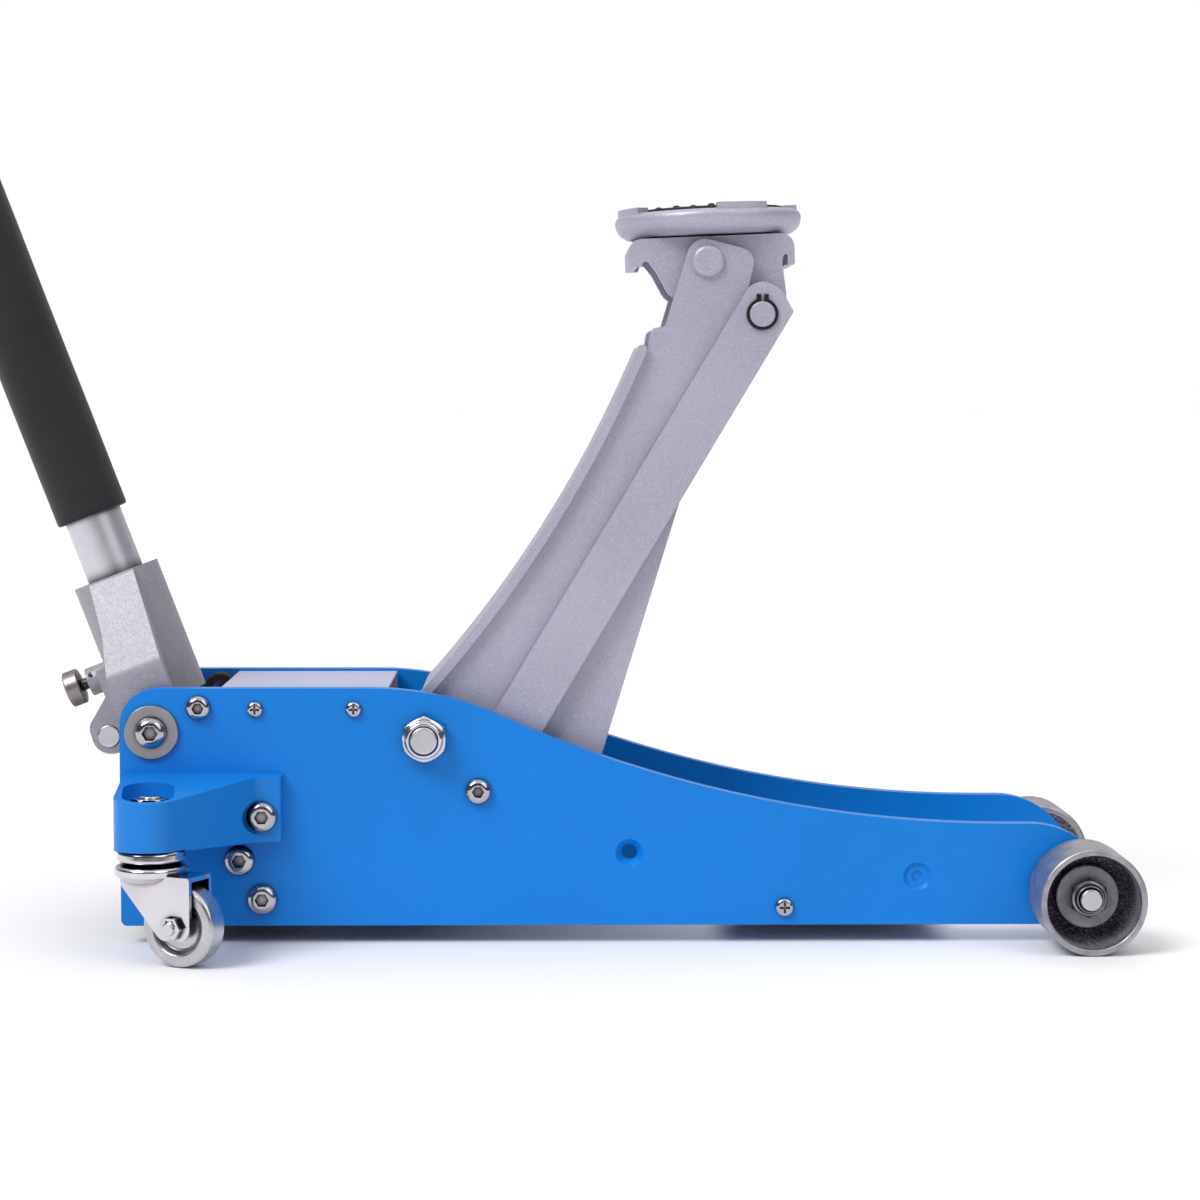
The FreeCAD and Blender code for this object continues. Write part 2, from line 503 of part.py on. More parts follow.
def make_pump():
    reach = "plate_inner - side_gap"
    block = box("block", ("block_back", f"-({reach})", "block_foot"),
                ("block_front - block_back", f"2 * ({reach})", "block_top - block_foot"))
    parts = []
    drills = [cylinder("ram_drill", "barrel_radius", "block_front - barrel_back + 5",
                       ("barrel_back", 0, "ram_axis_z"), (0, 1, 0), 90)]
    for at, side in enumerate(("-1", "1")):
        y = f"{side} * pump_y"
        parts.append(cylinder(f"pump_{at}", "pump_barrel", "pump_top - pump_foot",
                              ("pump_x", y, "pump_foot")))
        parts.append(box(f"pump_arm_{at}", ("pump_x", f"{y} - pump_barrel", 20),
                         ("block_back - pump_x + 2", "2 * pump_barrel", "pump_top - 24")))
        drills.append(cylinder(f"pump_drill_{at}", "plunger_radius + running_gap", 60,
                               ("pump_x", y, "pump_foot + 2")))
        hook_y = f"{side} * spring_y"
        parts.append(cylinder(f"hook_{at}", 2.2, "spring_x - block_front + 2.5",
                              ("block_front - 2", hook_y, "spring_z"), (0, 1, 0), 90))
    for at, (x, z) in enumerate((("lower_bolt_x", "lower_bolt_z"), ("foot_bolt_x", "foot_bolt_z"),
                                 ("bracket_bolt_x", "bracket_bolt_z"))):
        for side, start in (("left", "plate_inner"), ("right", "bolt_depth - plate_inner")):
            drills.append(cylinder(f"block_drill_{at}_{side}", "block_bolt", "bolt_depth",
                                   (x, start, z),
                                   (1, 0, 0), 90))
    valve_foot = ("pivot_x + handle_offset * cos(lean) + (valve_reach + 1) * sin(lean)", 0,
                  "pivot_z + handle_offset * sin(lean) - (valve_reach + 1) * cos(lean)")
    drills.append(cylinder("valve_drill", "valve_radius + running_gap", 40, valve_foot, (0, 1, 0),
                           "-lean"))
    whole = joined("Fuse", "block", block, *parts)
    keep("pump_block", set_back(joined("Cut", "block", whole, *drills)))

    barrel = turned("barrel", [(0, "barrel_back", 0), ("barrel_radius", "barrel_back", 0),
                               ("barrel_radius", "barrel_front", 1.5),
                               ("ram_radius + running_gap", "barrel_front", 0),
                               ("ram_radius + running_gap", "barrel_front - 5", 0),
                               ("bore_radius", "barrel_front - 5", 0),
                               ("bore_radius", "barrel_back + 4", 0),
                               (0, "barrel_back + 4", 0)])
    keep("ram_cylinder", set_back(barrel, "0", "0", "ram_axis_z", (0, 1, 0), 90))
    tank = turned("tank", [("barrel_radius", "tank_front - tank_skin", 0),
                           ("tank_radius - tank_skin", "tank_front - tank_skin", 0),
                           ("tank_radius - tank_skin", "block_front", 0),
                           ("tank_radius", "block_front", 0),
                           ("tank_radius", "tank_front", 3), ("barrel_radius", "tank_front", 0)])
    keep("oil_tank", set_back(tank, "0", "0", "ram_axis_z", (0, 1, 0), 90))

    plunger = turned("plunger", [(0, "plunger_foot", 0), ("plunger_radius", "plunger_foot", 0.5),
                                 ("plunger_radius", "plunger_top - 4", 0),
                                 ("pump_barrel", "plunger_top - 4", 0.5),
                                 ("pump_barrel", "plunger_top", 1), (0, "plunger_top", 0)])
    both_sides("pump_plungers", [set_back(plunger, "pump_x", "-pump_y")])
    spring = turned("plunger_coil", [("spring_radius - 1.6", "pump_top", 0),
                                     ("spring_radius", "pump_top", 0),
                                     ("spring_radius", "plunger_top - 4", 0),
                                     ("spring_radius - 1.6", "plunger_top - 4", 0)])
    both_sides("plunger_springs", [set_back(spring, "pump_x", "-pump_y")])


def ram_pin_x():
    """Where the ram pin stands ahead of the arm shaft with the arm raised."""
    return "(arm_x + crank_radius * sin(crank_angle))"


def make_ram():
    pin = ram_pin_x()
    rod = cylinder("ram_bar", "ram_radius", f"{pin} - yoke_back - piston_x + 2",
                   ("piston_x", 0, "ram_axis_z"),
                   (0, 1, 0), 90)
    piston = cylinder("ram_piston", "bore_radius - running_gap", 8, ("piston_x", 0, "ram_axis_z"),
                      (0, 1, 0), 90)
    low = "arm_z - crank_radius - slot_half"
    high = "ram_z + slot_half"
    yoke = pad("yoke", "XZ_Plane", [(f"{pin} - yoke_back", f"{low} - 5", 4),
                                    (f"{pin} + yoke_front", f"{low} - 5", 4),
                                    (f"{pin} + yoke_front", f"{high} + 5", 4),
                                    (f"{pin} - yoke_back", f"{high} + 5", 4)], [], "-yoke_half",
                                    "2 * yoke_half")
    slot = pad("yoke_slot", "XZ_Plane", [(f"{pin} - slot_half", f"{low} - 0.6", "slot_half - 0.4"),
                                         (f"{pin} + slot_half", f"{low} - 0.6", "slot_half - 0.4"),
                                         (f"{pin} + slot_half", f"{high} + 0.6", "slot_half - 0.4"),
                                         (f"{pin} - slot_half", f"{high} + 0.6", "slot_half - 0.4")],
               [], "-yoke_half - 1", "2 * yoke_half + 2")
    solid = joined("Fuse", "ram", rod, piston, yoke)
    keep("ram_rod", set_back(joined("Cut", "ram", solid, slot)))


def make_return_springs():
    """Two coils from the block's hooks to the ram pin, each kept as a plain bar of its outer size."""
    rise = "(ram_z - spring_z)"
    run = f"({ram_pin_x()} - spring_x)"
    coil = cylinder("return_coil", "return_radius", f"sqrt({run}^2 + {rise}^2) - ram_pin_radius - 1.9",
                    ("spring_x - origin_x + 1.5", "-spring_y", "spring_z"), (0, 1, 0),
                    f"atan2({run}; {rise})")
    both_sides("return_springs", [coil])


def make_release_valve():
    """A spindle in line with the resting handle, its ball head at the handle's own foot."""
    spindle = turned("valve_spindle", [(0, "-valve_reach", 0), ("valve_radius", "-valve_reach", 0.6),
                                       ("valve_radius", -16, 0.6), (3, -15, 0), (3, 0, 0), (0, 0, 0)])
    ball = primitive("Sphere", "valve_head", {"Radius": "valve_ball"})
    spindle = joined("Fuse", "valve", spindle, ball)
    keep("release_valve", on_handle_axis(spindle))


# ---------------------------------------------------------------- lifting arm, rods, head and saddle

def make_arm():
    crank = ram_pin_x()
    top = ("arm_x + arm_length * cos(arm_rise)", "arm_z + arm_length * sin(arm_rise)")
    holes = [("arm_x", "arm_z", "tube_radius"), (*top, "stub_radius"),
             (crank, "ram_z", "ram_pin_radius")]
    plate = pad("arm_plate", "XZ_Plane", ARM_EDGE, holes, "arm_inner", "arm_thick")
    right = keep("arm_right_plate", set_back(plate))
    keep("arm_left_plate", mirrored(right))
    keep("arm_web", set_back(pad("arm_back", "XZ_Plane", WEB_EDGE, [], "-web_reach", "2 * web_reach")))

    sleeve = turned("pivot_sleeve", [("shaft_radius + running_gap", "-tube_end", 0),
                                     ("tube_radius", "-tube_end", 0),
                                     ("tube_radius", "tube_end", 0),
                                     ("shaft_radius + running_gap", "tube_end", 0)])
    keep("arm_pivot_tube", along_y(sleeve, "arm_x", "arm_z"))
    stub = turned("saddle_stub", [(0, "stub_inner", 0), ("stub_radius", "stub_inner", 0.8),
                                  ("stub_radius", "stub_outer", 2.6), (0, "stub_outer", 0)])
    both_sides("saddle_pivots", [along_y(stub, *top)])
    pin_end = "arm_inner + arm_thick"
    pin = turned("crank_pin", [(0, f"-({pin_end})", 0), ("ram_pin_radius", f"-({pin_end})", 0),
                               ("ram_pin_radius", pin_end, 0), (0, pin_end, 0)])
    keep("ram_pin", along_y(pin, crank, "ram_z"))


def make_link_rods():
    outline = [("-rod_half", "-rod_half", "rod_half - 0.05"),
               ("rod_half", "-rod_half", "rod_half - 0.05"),
               ("rod_half", "arm_length + 8.8", 1.5), ("2", "arm_length + 14.6", 5),
               ("-rod_half", "arm_length + 14.6", 9)]
    holes = [(0, 0, "rod_bolt + running_gap"), (0, "arm_length", "head_pin_radius")]
    rod = pad("link_rod", "XZ_Plane", outline, holes, "rod_inner", "rod_thick")
    both_sides("link_rods", [set_back(rod, "rod_x", "0", "rod_z", (0, 1, 0), "90 - arm_rise")])
    top = ("rod_x + arm_length * cos(arm_rise)", "rod_z + arm_length * sin(arm_rise)")
    pin = turned("head_pin_bar", [(0, "-head_pin_end", 0), ("head_pin_radius", "-head_pin_end", 0.8),
                                  ("head_pin_radius", "head_pin_end", 0.8), (0, "head_pin_end", 0)])
    keep("head_pin", along_y(pin, *top))
    face = "rod_inner + rod_thick"
    ring = turned("clip_ring", [("head_pin_radius", face, 0), ("head_pin_radius + 1.5", face, 0),
                                ("head_pin_radius + 1.5", f"{face} + 1.2", 0),
                                ("head_pin_radius", f"{face} + 1.2", 0)])
    gap = box("clip_gap", (-0.7, "head_pin_radius - 1", f"{face} - 1"), (1.4, 5, 5))
    ears = [box(f"clip_ear_{at}", (x, "head_pin_radius + 0.4", face), (2.2, 3, 1.2))
            for at, x in enumerate(("-0.7 - 2.2", "0.7"))]
    clip = joined("Fuse", "clip_whole", joined("Cut", "clip", ring, gap), *ears)
    both_sides("head_pin_clips", [along_y(clip, *top)])


def set_on_head(piece):
    """Place a piece of the head, drawn about the saddle pivot, with the head's small upward tilt."""
    top = ("arm_x + arm_length * cos(arm_rise)", "arm_z + arm_length * sin(arm_rise)")
    return set_back(piece, top[0], "0", top[1], (0, 1, 0), "-head_tilt")


def make_head():
    link_x = "((rod_x - arm_x) * cos(head_tilt) + (rod_z - arm_z) * sin(head_tilt))"
    link_z = "((rod_z - arm_z) * cos(head_tilt) - (rod_x - arm_x) * sin(head_tilt))"
    under = "head_top - head_skin"
    cheek = [("-head_back", "head_top - lip_drop", 0.4), ("6 - head_back", "head_top - lip_drop", 0.8),
             (-29.8, 3.2, 1.6), (-25, -3.4, 8), (-18.5, -16.5, 8), (4, -20, 14),
             (f"{link_x} - 8", f"{link_z} - 12.5", 9), (f"{link_x} + 11", f"{link_z} - 11.5", 10),
             (f"{link_x} + 13", f"{link_z} + 10", 6), (36, -1.5, 0), (37, 2.2, 1),
             ("head_front - 3.4", 2.2, 0.6), ("head_front - 3.6", -3.2, 0.4), ("head_front", -2.6, 1),
             ("head_front", "head_top", 6.5), ("-head_back", "head_top", 6.5)]
    holes = [(0, 0, "stub_radius + running_gap"), (link_x, link_z, "head_pin_radius + pin_slack")]
    cheeks = []
    for at, start in enumerate(("cheek_inner", "-cheek_inner - cheek_thick")):
        cheeks.append(pad(f"cheek_{at}", "XZ_Plane", cheek, holes, start, "cheek_thick"))
    tray = pad("tray", "XZ_Plane", [("-head_back", "head_top - lip_drop", 0),
                                    ("4 - head_back", "head_top - lip_drop", 0),
                                    ("4 - head_back", under, 2.6), ("head_front - 4", under, 2.6),
                                    ("head_front - 4", -2.6, 0), ("head_front", -2.6, 0),
                                    ("head_front", "head_top", 6.5), ("-head_back", "head_top", 6.5)],
               [], "-cheek_inner - 0.5", "2 * cheek_inner + 1")
    bore = cylinder("post_hole", "post_radius + running_gap", 30, ("post_x", 0, 0))
    solid = joined("Cut", "head_solid", joined("Fuse", "head", tray, *cheeks), bore)
    keep("head_bracket", set_on_head(solid))


def make_saddle():
    dish = turned("dish", [(0, "post_foot", 0), ("post_radius", "post_foot", 1),
                           ("post_radius", "saddle_floor", 0),
                           (39.5, "saddle_floor", 7), (43.9, "saddle_floor + 2.2", 7),
                           ("saddle_radius", "saddle_floor + 6.5", 8),
                           ("saddle_radius", "saddle_rim", 3.4), ("recess_radius", "saddle_rim", 1),
                           ("recess_radius", "recess_floor", 0), (0, "recess_floor", 0)])
    lugs = []
    for quarter in range(4):
        turn = f"{-90 + 90 * quarter} + lug_turn - lug_width / 2"
        sector = primitive("Cylinder", f"lug_{quarter}",
                           {"Radius": "saddle_radius - 1.4", "Angle": "lug_width",
                            "Height": "lug_top - saddle_rim + 1.5"},
                           (0, 0, "saddle_rim - 1.5"), (0, 0, 1), turn)
        core = cylinder(f"lug_core_{quarter}", "recess_radius", 20, (0, 0, "saddle_rim - 5"))
        lugs.append(joined("Cut", f"lug_piece_{quarter}", sector, core))
    keep("saddle_cup", set_on_saddle(joined("Fuse", "saddle", dish, *lugs)))
    pad_disc = turned("rubber", [(0, "recess_floor", 0), ("recess_radius - 0.3", "recess_floor", 0),
                                 ("recess_radius - 0.3", "pad_top", 1.2), (0, "pad_top", 0)])
    keep("saddle_pad", set_on_saddle(pad_disc))
    retainer = turned("retainer", [("post_radius", "head_top - head_skin - 4.2", 0),
                                   ("retainer_radius", "head_top - head_skin - 4.2", 0.6),
                                   ("retainer_radius", "head_top - head_skin - 0.2", 0),
                                   ("post_radius", "head_top - head_skin - 0.2", 0)])
    keep("saddle_retainer", set_on_saddle(retainer))


def set_on_saddle(piece):
    """Place a piece that turns with the saddle, a little ahead of the pivot."""
    x = "arm_x + arm_length * cos(arm_rise) + post_x * cos(head_tilt)"
    z = "arm_z + arm_length * sin(arm_rise) + post_x * sin(head_tilt)"
    return set_back(piece, x, "0", z, (0, 1, 0), "-head_tilt")


# ---------------------------------------------------------------- handle and its socket

def on_pivot(piece):
    """Place a piece drawn about the handle pivot with its Z axis up the leaning handle."""
    return set_back(piece, "pivot_x", "0", "pivot_z", (0, 1, 0), "-lean")


def on_handle_axis(piece):
    """Place a piece drawn about the handle's own axis."""
    return set_back(piece, "pivot_x + handle_offset * cos(lean)", "0",
                    "pivot_z + handle_offset * sin(lean)",
                    (0, 1, 0), "-lean")


def make_socket():
    front = []
    for at, side in enumerate((-1, 1)):
        corners = [(14, "socket_top", 0), (22, "socket_top", 3), ("cheek_outer", 30, 12),
                   ("cheek_outer", "-foot_radius - 1", 0),
                   ("cheek_outer - fork_thick", "-foot_radius - 1", 0),
                   ("cheek_outer - fork_thick", 27, 10), (14, "socket_top - 6", 0)]
        mirrored_corners = [(f"{side} * ({across})", up, rounding) for across, up, rounding in corners]
        ordered = mirrored_corners if side == -1 else list(reversed(mirrored_corners))
        front.append(pad(f"fork_front_{at}", "YZ_Plane", ordered, [], -40, 80))
    side_outline = [("-foot_radius", "-foot_radius", "foot_radius - 0.05"),
                    ("foot_radius", "-foot_radius", "foot_radius - 0.05"), (14.8, 18, 8),
                    (15.1, "socket_top + 2", 0), (-7.6, "socket_top + 2", 0), (-8.6, 52, 12),
                    (-14.4, 22, 14)]
    sides = pad("fork_side", "XZ_Plane", side_outline, [], -60, 120)
    fork = joined("Common", "fork", joined("Fuse", "fork_fronts", *front), sides)
    barrel = cylinder("socket_barrel", "socket_radius", "socket_top - socket_foot",
                      ("handle_offset", 0, "socket_foot"))
    cross = box("socket_cross", (-17.3, "-cheek_outer + 6", 12), (8, "2 * cheek_outer - 12", 24))
    ears = []
    ear_outline = [("-roller_back - ear_radius", "roller_up - ear_radius * 0.9", "ear_radius - 0.35"),
                   ("-roller_back + ear_radius", "roller_up - ear_radius * 1.1", "ear_radius - 0.05"),
                   (-14, 14, 4), (-9.3, 20, 0), (-9.3, 34, 0), (-17.3, 34, 0), (-17.8, 23, 3),
                   ("-roller_back - ear_radius", "roller_up + 7.5", 7)]
    for at, start in enumerate(("ear_inner", "-ear_inner - ear_thick")):
        ears.append(pad(f"ear_{at}", "XZ_Plane", ear_outline,
                        [("-roller_back", "roller_up", "roller_pin")],
                        start, "ear_thick"))
    boss = cylinder("screw_boss", "boss_radius", "boss_end", (0, 0, "screw_up"), (0, 1, 0), -90)
    solid = joined("Fuse", "socket", barrel, fork, cross, *ears, boss)
    bore = cylinder("socket_bore", "tube_outer + running_gap", 120, ("handle_offset", 0, -20))
    pivots = cylinder("socket_pivots", "pivot_radius + running_gap", 120, (0, 60, 0), (1, 0, 0), 90)
    screw_hole = cylinder("screw_hole", "thread_hole", 60, (0, 0, "screw_up"), (0, 1, 0), -90)
    cross_hole = cylinder("boss_cross_hole", 1.3, 40, ("-boss_end + 2.6", 20, "screw_up + 3.4"),
                          (1, 0, 0), 90)
    roller_room = box("roller_room", ("-roller_back - 14", "-ear_inner", -12),
                      (29, "2 * ear_inner", 26))
    whole = joined("Cut", "socket_whole", solid, bore, pivots, screw_hole, cross_hole, roller_room)
    keep("handle_socket", on_pivot(whole))


def make_socket_fittings():
    x = "pivot_x - roller_back * cos(lean) - roller_up * sin(lean)"
    z = "pivot_z - roller_back * sin(lean) + roller_up * cos(lean)"
    end = "ear_inner + ear_thick + 0.6"
    pin = turned("roller_shaft", [(0, f"-({end})", 0), ("roller_pin", f"-({end})", 0.8),
                                  ("roller_pin", end, 0.8),
                                  (0, end, 0)])
    keep("roller_pin", along_y(pin, x, z))
    roller = turned("roller", [("roller_pin + running_gap", "roller_inner", 0),
                               ("roller_radius", "roller_inner", 0.8),
                               ("roller_radius", "roller_inner + roller_width", 0.8),
                               ("roller_pin + running_gap", "roller_inner + roller_width", 0)])
    both_sides("pump_rollers", [along_y(roller, x, z)])
    screw = turned("hand_screw", [(0, "screw_tip", 0), (2.3, "screw_tip", 0.5), (2.3, 12.6, 0),
                                  ("thread_hole - running_gap", 13.2, 0),
                                  ("thread_hole - running_gap", "knob_start", 0),
                                  ("knob_radius", "knob_start", 1), ("knob_radius", "knob_end", 1),
                                  (0, "knob_end", 0)])
    keep("thumbscrew", set_back(screw, "pivot_x - screw_up * sin(lean)", "0",
                                "pivot_z + screw_up * cos(lean)",
                                (0, 1, 0), "-90 - lean"))


def make_handle():
    groove = "screw_up"
    lower = turned("lower_tube", [("tube_bore", "tube_foot", 0), ("tube_outer", "tube_foot", 0.6),
                                  ("tube_outer", f"{groove} - groove_half", 0),
                                  ("groove_radius", f"{groove} - groove_half", 0),
                                  ("groove_radius", f"{groove} + groove_half", 0),
                                  ("tube_outer", f"{groove} + groove_half", 0),
                                  ("tube_outer", "joint_up", 0.6),
                                  ("tube_bore", "joint_up", 0)])
    keep("handle_lower_tube", on_handle_axis(lower))
    foam = turned("foam", [("tube_outer", "foam_foot", 0), ("foam_radius", "foam_foot", 2),
                           ("foam_radius", "foam_top", 2), ("tube_outer", "foam_top", 0)])
    keep("foam_sleeve", on_handle_axis(foam))
    upper = turned("upper_tube", [("tube_bore - 2", "spigot_foot", 0),
                                  ("tube_bore", "spigot_foot", 0.6),
                                  ("tube_bore", "joint_up", 0), ("tube_outer", "joint_up", 0.6),
                                  ("tube_outer", "upper_top", 0.6), ("tube_bore - 2", "upper_top", 0)])
    keep("handle_upper_tube", on_handle_axis(upper))
    grip = turned("grip", [("tube_outer", "grip_foot", 0), ("grip_radius", "grip_foot", 2),
                           ("grip_radius", "grip_top", "grip_round"), (0, "grip_top", 0),
                           (0, "upper_top", 0),
                           ("tube_outer", "upper_top", 0)])
    keep("hand_grip", on_handle_axis(grip))
    driver = turned("driver", [("valve_ball + 2", -1.5, 0), ("tube_bore", -1.5, 0.8),
                               ("tube_bore", 28, 0),
                               (0, 28, 0), (0, 10, 0), ("valve_ball + 2", 10, 0)])
    keep("valve_driver", on_handle_axis(driver))


# ---------------------------------------------------------------- casters

def make_casters():
    race = turned("fork_race", [("stem_radius + running_gap", "fork_plate - 1.4", 0),
                                (13, "fork_plate - 1.4", 0),
                                ("race_radius + 0.8", "fork_plate + 1.6", 0.8),
                                ("race_radius + 0.8", "fork_top - 2", 2),
                                (12, "fork_top", 1), ("stem_radius + running_gap", "fork_top", 0)])
    bridge = box("fork_bridge", (-6, "-leg_inner - leg_thick", "fork_plate"),
                 (32, "2 * (leg_inner + leg_thick)", "fork_skin"))
    leg = [("trail + 9", "caster_radius - 6.4", 6.3), ("trail + 9", "fork_plate + fork_skin", 1.5),
           (-11, "fork_plate + fork_skin", 0), (-11, "fork_plate - 3", 4),
           ("trail - 6.8", "caster_radius - 6.4", 6.3)]
    legs = []
    for at, start in enumerate(("leg_inner", "-leg_inner - leg_thick")):
        legs.append(pad(f"leg_{at}", "XZ_Plane", leg, [("trail", "caster_radius", "caster_axle")],
                        start, "leg_thick"))
    trim = cylinder("fork_bore", "stem_radius + running_gap", 30, (0, 0, "fork_plate - 10"))
    rivet_room = cylinder("fork_rivet_room", 8, 3.1, (0, 0, 35.5))
    fork = joined("Cut", "fork_trim", joined("Fuse", "fork_whole", race, bridge, *legs), trim,
                  rivet_room)
    right = keep("caster_fork_right", on_caster(fork))
    keep("caster_fork_left", mirrored(right))

    half = "leg_inner + leg_thick"
    axle = turned("caster_bolt", [(0, f"-({half}) - 4.5", 0), ("caster_axle", f"-({half}) - 4.5", 0.6),
                                  ("caster_axle", f"{half} + 4.5", 0.6), (0, f"{half} + 4.5", 0)],
                                  "XY_Plane")
    nuts = []
    for at, start in enumerate((half, f"-({half}) - 3")):
        prism = primitive("Prism", f"caster_nut_{at}", {"Circumradius": "5.6", "Height": "3"},
                          (0, f"{start} + 3", 0), (1, 0, 0), 90)
        prism.Polygon = 6
        nuts.append(prism)
    right = keep("caster_axle_right", on_caster(joined("Fuse", "caster_axle_whole", axle, *nuts), True))
    keep("caster_axle_left", mirrored(right))

    wheel = turned("caster_roller", [("caster_axle + running_gap", -6.6, 0), (5.2, -6.6, 0.4),
                                     (5.2, -4, 0.8),
                                     (11, -3, 2), (13.6, "-caster_half", 1),
                                     ("caster_radius", "-caster_half", 2.2),
                                     ("caster_radius", "caster_half", 2.2),
                                     (13.6, "caster_half", 1), (11, 3, 2),
                                     (5.2, 4, 0.8), (5.2, 6.6, 0.4),
                                     ("caster_axle + running_gap", 6.6, 0)],
                   "XY_Plane")
    right = keep("caster_wheel_right", on_caster(wheel, True))
    keep("caster_wheel_left", mirrored(right))


def on_caster(piece, at_wheel=False):
    """Place a piece of the right caster, drawn about its swivel or about its wheel's centre."""
    if at_wheel:
        return set_back(piece, "swivel_x + trail * cos(yaw)", "-(swivel_y + trail * sin(yaw))",
                        "caster_radius",
                        (0, 0, 1), "-yaw")
    return set_back(piece, "swivel_x", "-swivel_y", "0", (0, 0, 1), "-yaw")


for make in (make_side_plates, make_front_axle, make_front_wheels, make_base_plate, make_cover,
             make_caster_brackets, make_plate_bolts, make_arm_shaft, make_caster_stems, make_pump,
             make_ram,
             make_return_springs, make_release_valve, make_arm, make_link_rods, make_head,
             make_saddle, make_socket,
             make_socket_fittings, make_handle, make_casters):
    make()
doc.recompute()

for item in doc.Objects:
    if {"Invalid", "Error"} & set(item.State):
        raise RuntimeError(f"{item.Name} did not recompute: {item.State}")
for piece in finished:
    if piece.Shape.isNull() or not piece.Shape.isValid():
        raise RuntimeError(f"{piece.Label} has no valid shape")

os.makedirs("parts", exist_ok=True)
for piece in finished:
    piece.Shape.exportStep(f"parts/{piece.Label}.step")
whole = Part.makeCompound([piece.Shape for piece in finished]).BoundBox
print(f"{len(finished)} sub-parts, X {whole.XMin:.2f} to {whole.XMax:.2f}, Y {whole.YMin:.2f} to "
      f"{whole.YMax:.2f}, Z {whole.ZMin:.2f} to {whole.ZMax:.2f}")
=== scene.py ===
import json
import math

import bmesh
import bpy
from mathutils import Matrix, Vector, noise


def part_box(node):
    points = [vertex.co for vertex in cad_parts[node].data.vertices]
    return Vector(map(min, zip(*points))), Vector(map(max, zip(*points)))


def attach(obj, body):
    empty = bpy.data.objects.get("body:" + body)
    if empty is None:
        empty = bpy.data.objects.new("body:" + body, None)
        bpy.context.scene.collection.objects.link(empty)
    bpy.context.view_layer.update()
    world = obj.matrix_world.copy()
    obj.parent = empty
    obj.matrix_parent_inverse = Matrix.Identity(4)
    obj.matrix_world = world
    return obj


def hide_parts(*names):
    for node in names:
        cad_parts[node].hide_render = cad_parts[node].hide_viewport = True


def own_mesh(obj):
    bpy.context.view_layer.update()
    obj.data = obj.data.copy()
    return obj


# A low-profile trolley jack, raised, dressed round its CAD frame. Metres, +Z up, +X to the nose.

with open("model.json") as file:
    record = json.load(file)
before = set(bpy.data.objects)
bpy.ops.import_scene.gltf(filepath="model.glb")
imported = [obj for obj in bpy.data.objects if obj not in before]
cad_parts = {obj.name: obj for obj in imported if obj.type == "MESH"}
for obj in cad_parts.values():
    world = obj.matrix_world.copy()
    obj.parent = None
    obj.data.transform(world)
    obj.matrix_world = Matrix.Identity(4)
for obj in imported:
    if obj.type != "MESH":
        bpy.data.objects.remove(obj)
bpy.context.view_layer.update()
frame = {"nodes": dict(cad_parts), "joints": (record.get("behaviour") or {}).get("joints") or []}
nodes = frame["nodes"]
joints = {joint["name"]: joint for joint in frame["joints"]}
scene = bpy.context.scene
MM = 0.001
ACROSS = (0, 1, 0)


# ---------------------------------------------------------------- materials

# a Mix node's colour sockets, which share their names with its number sockets
FIRST_COLOUR, SECOND_COLOUR, MIXED_COLOUR = 6, 7, 2


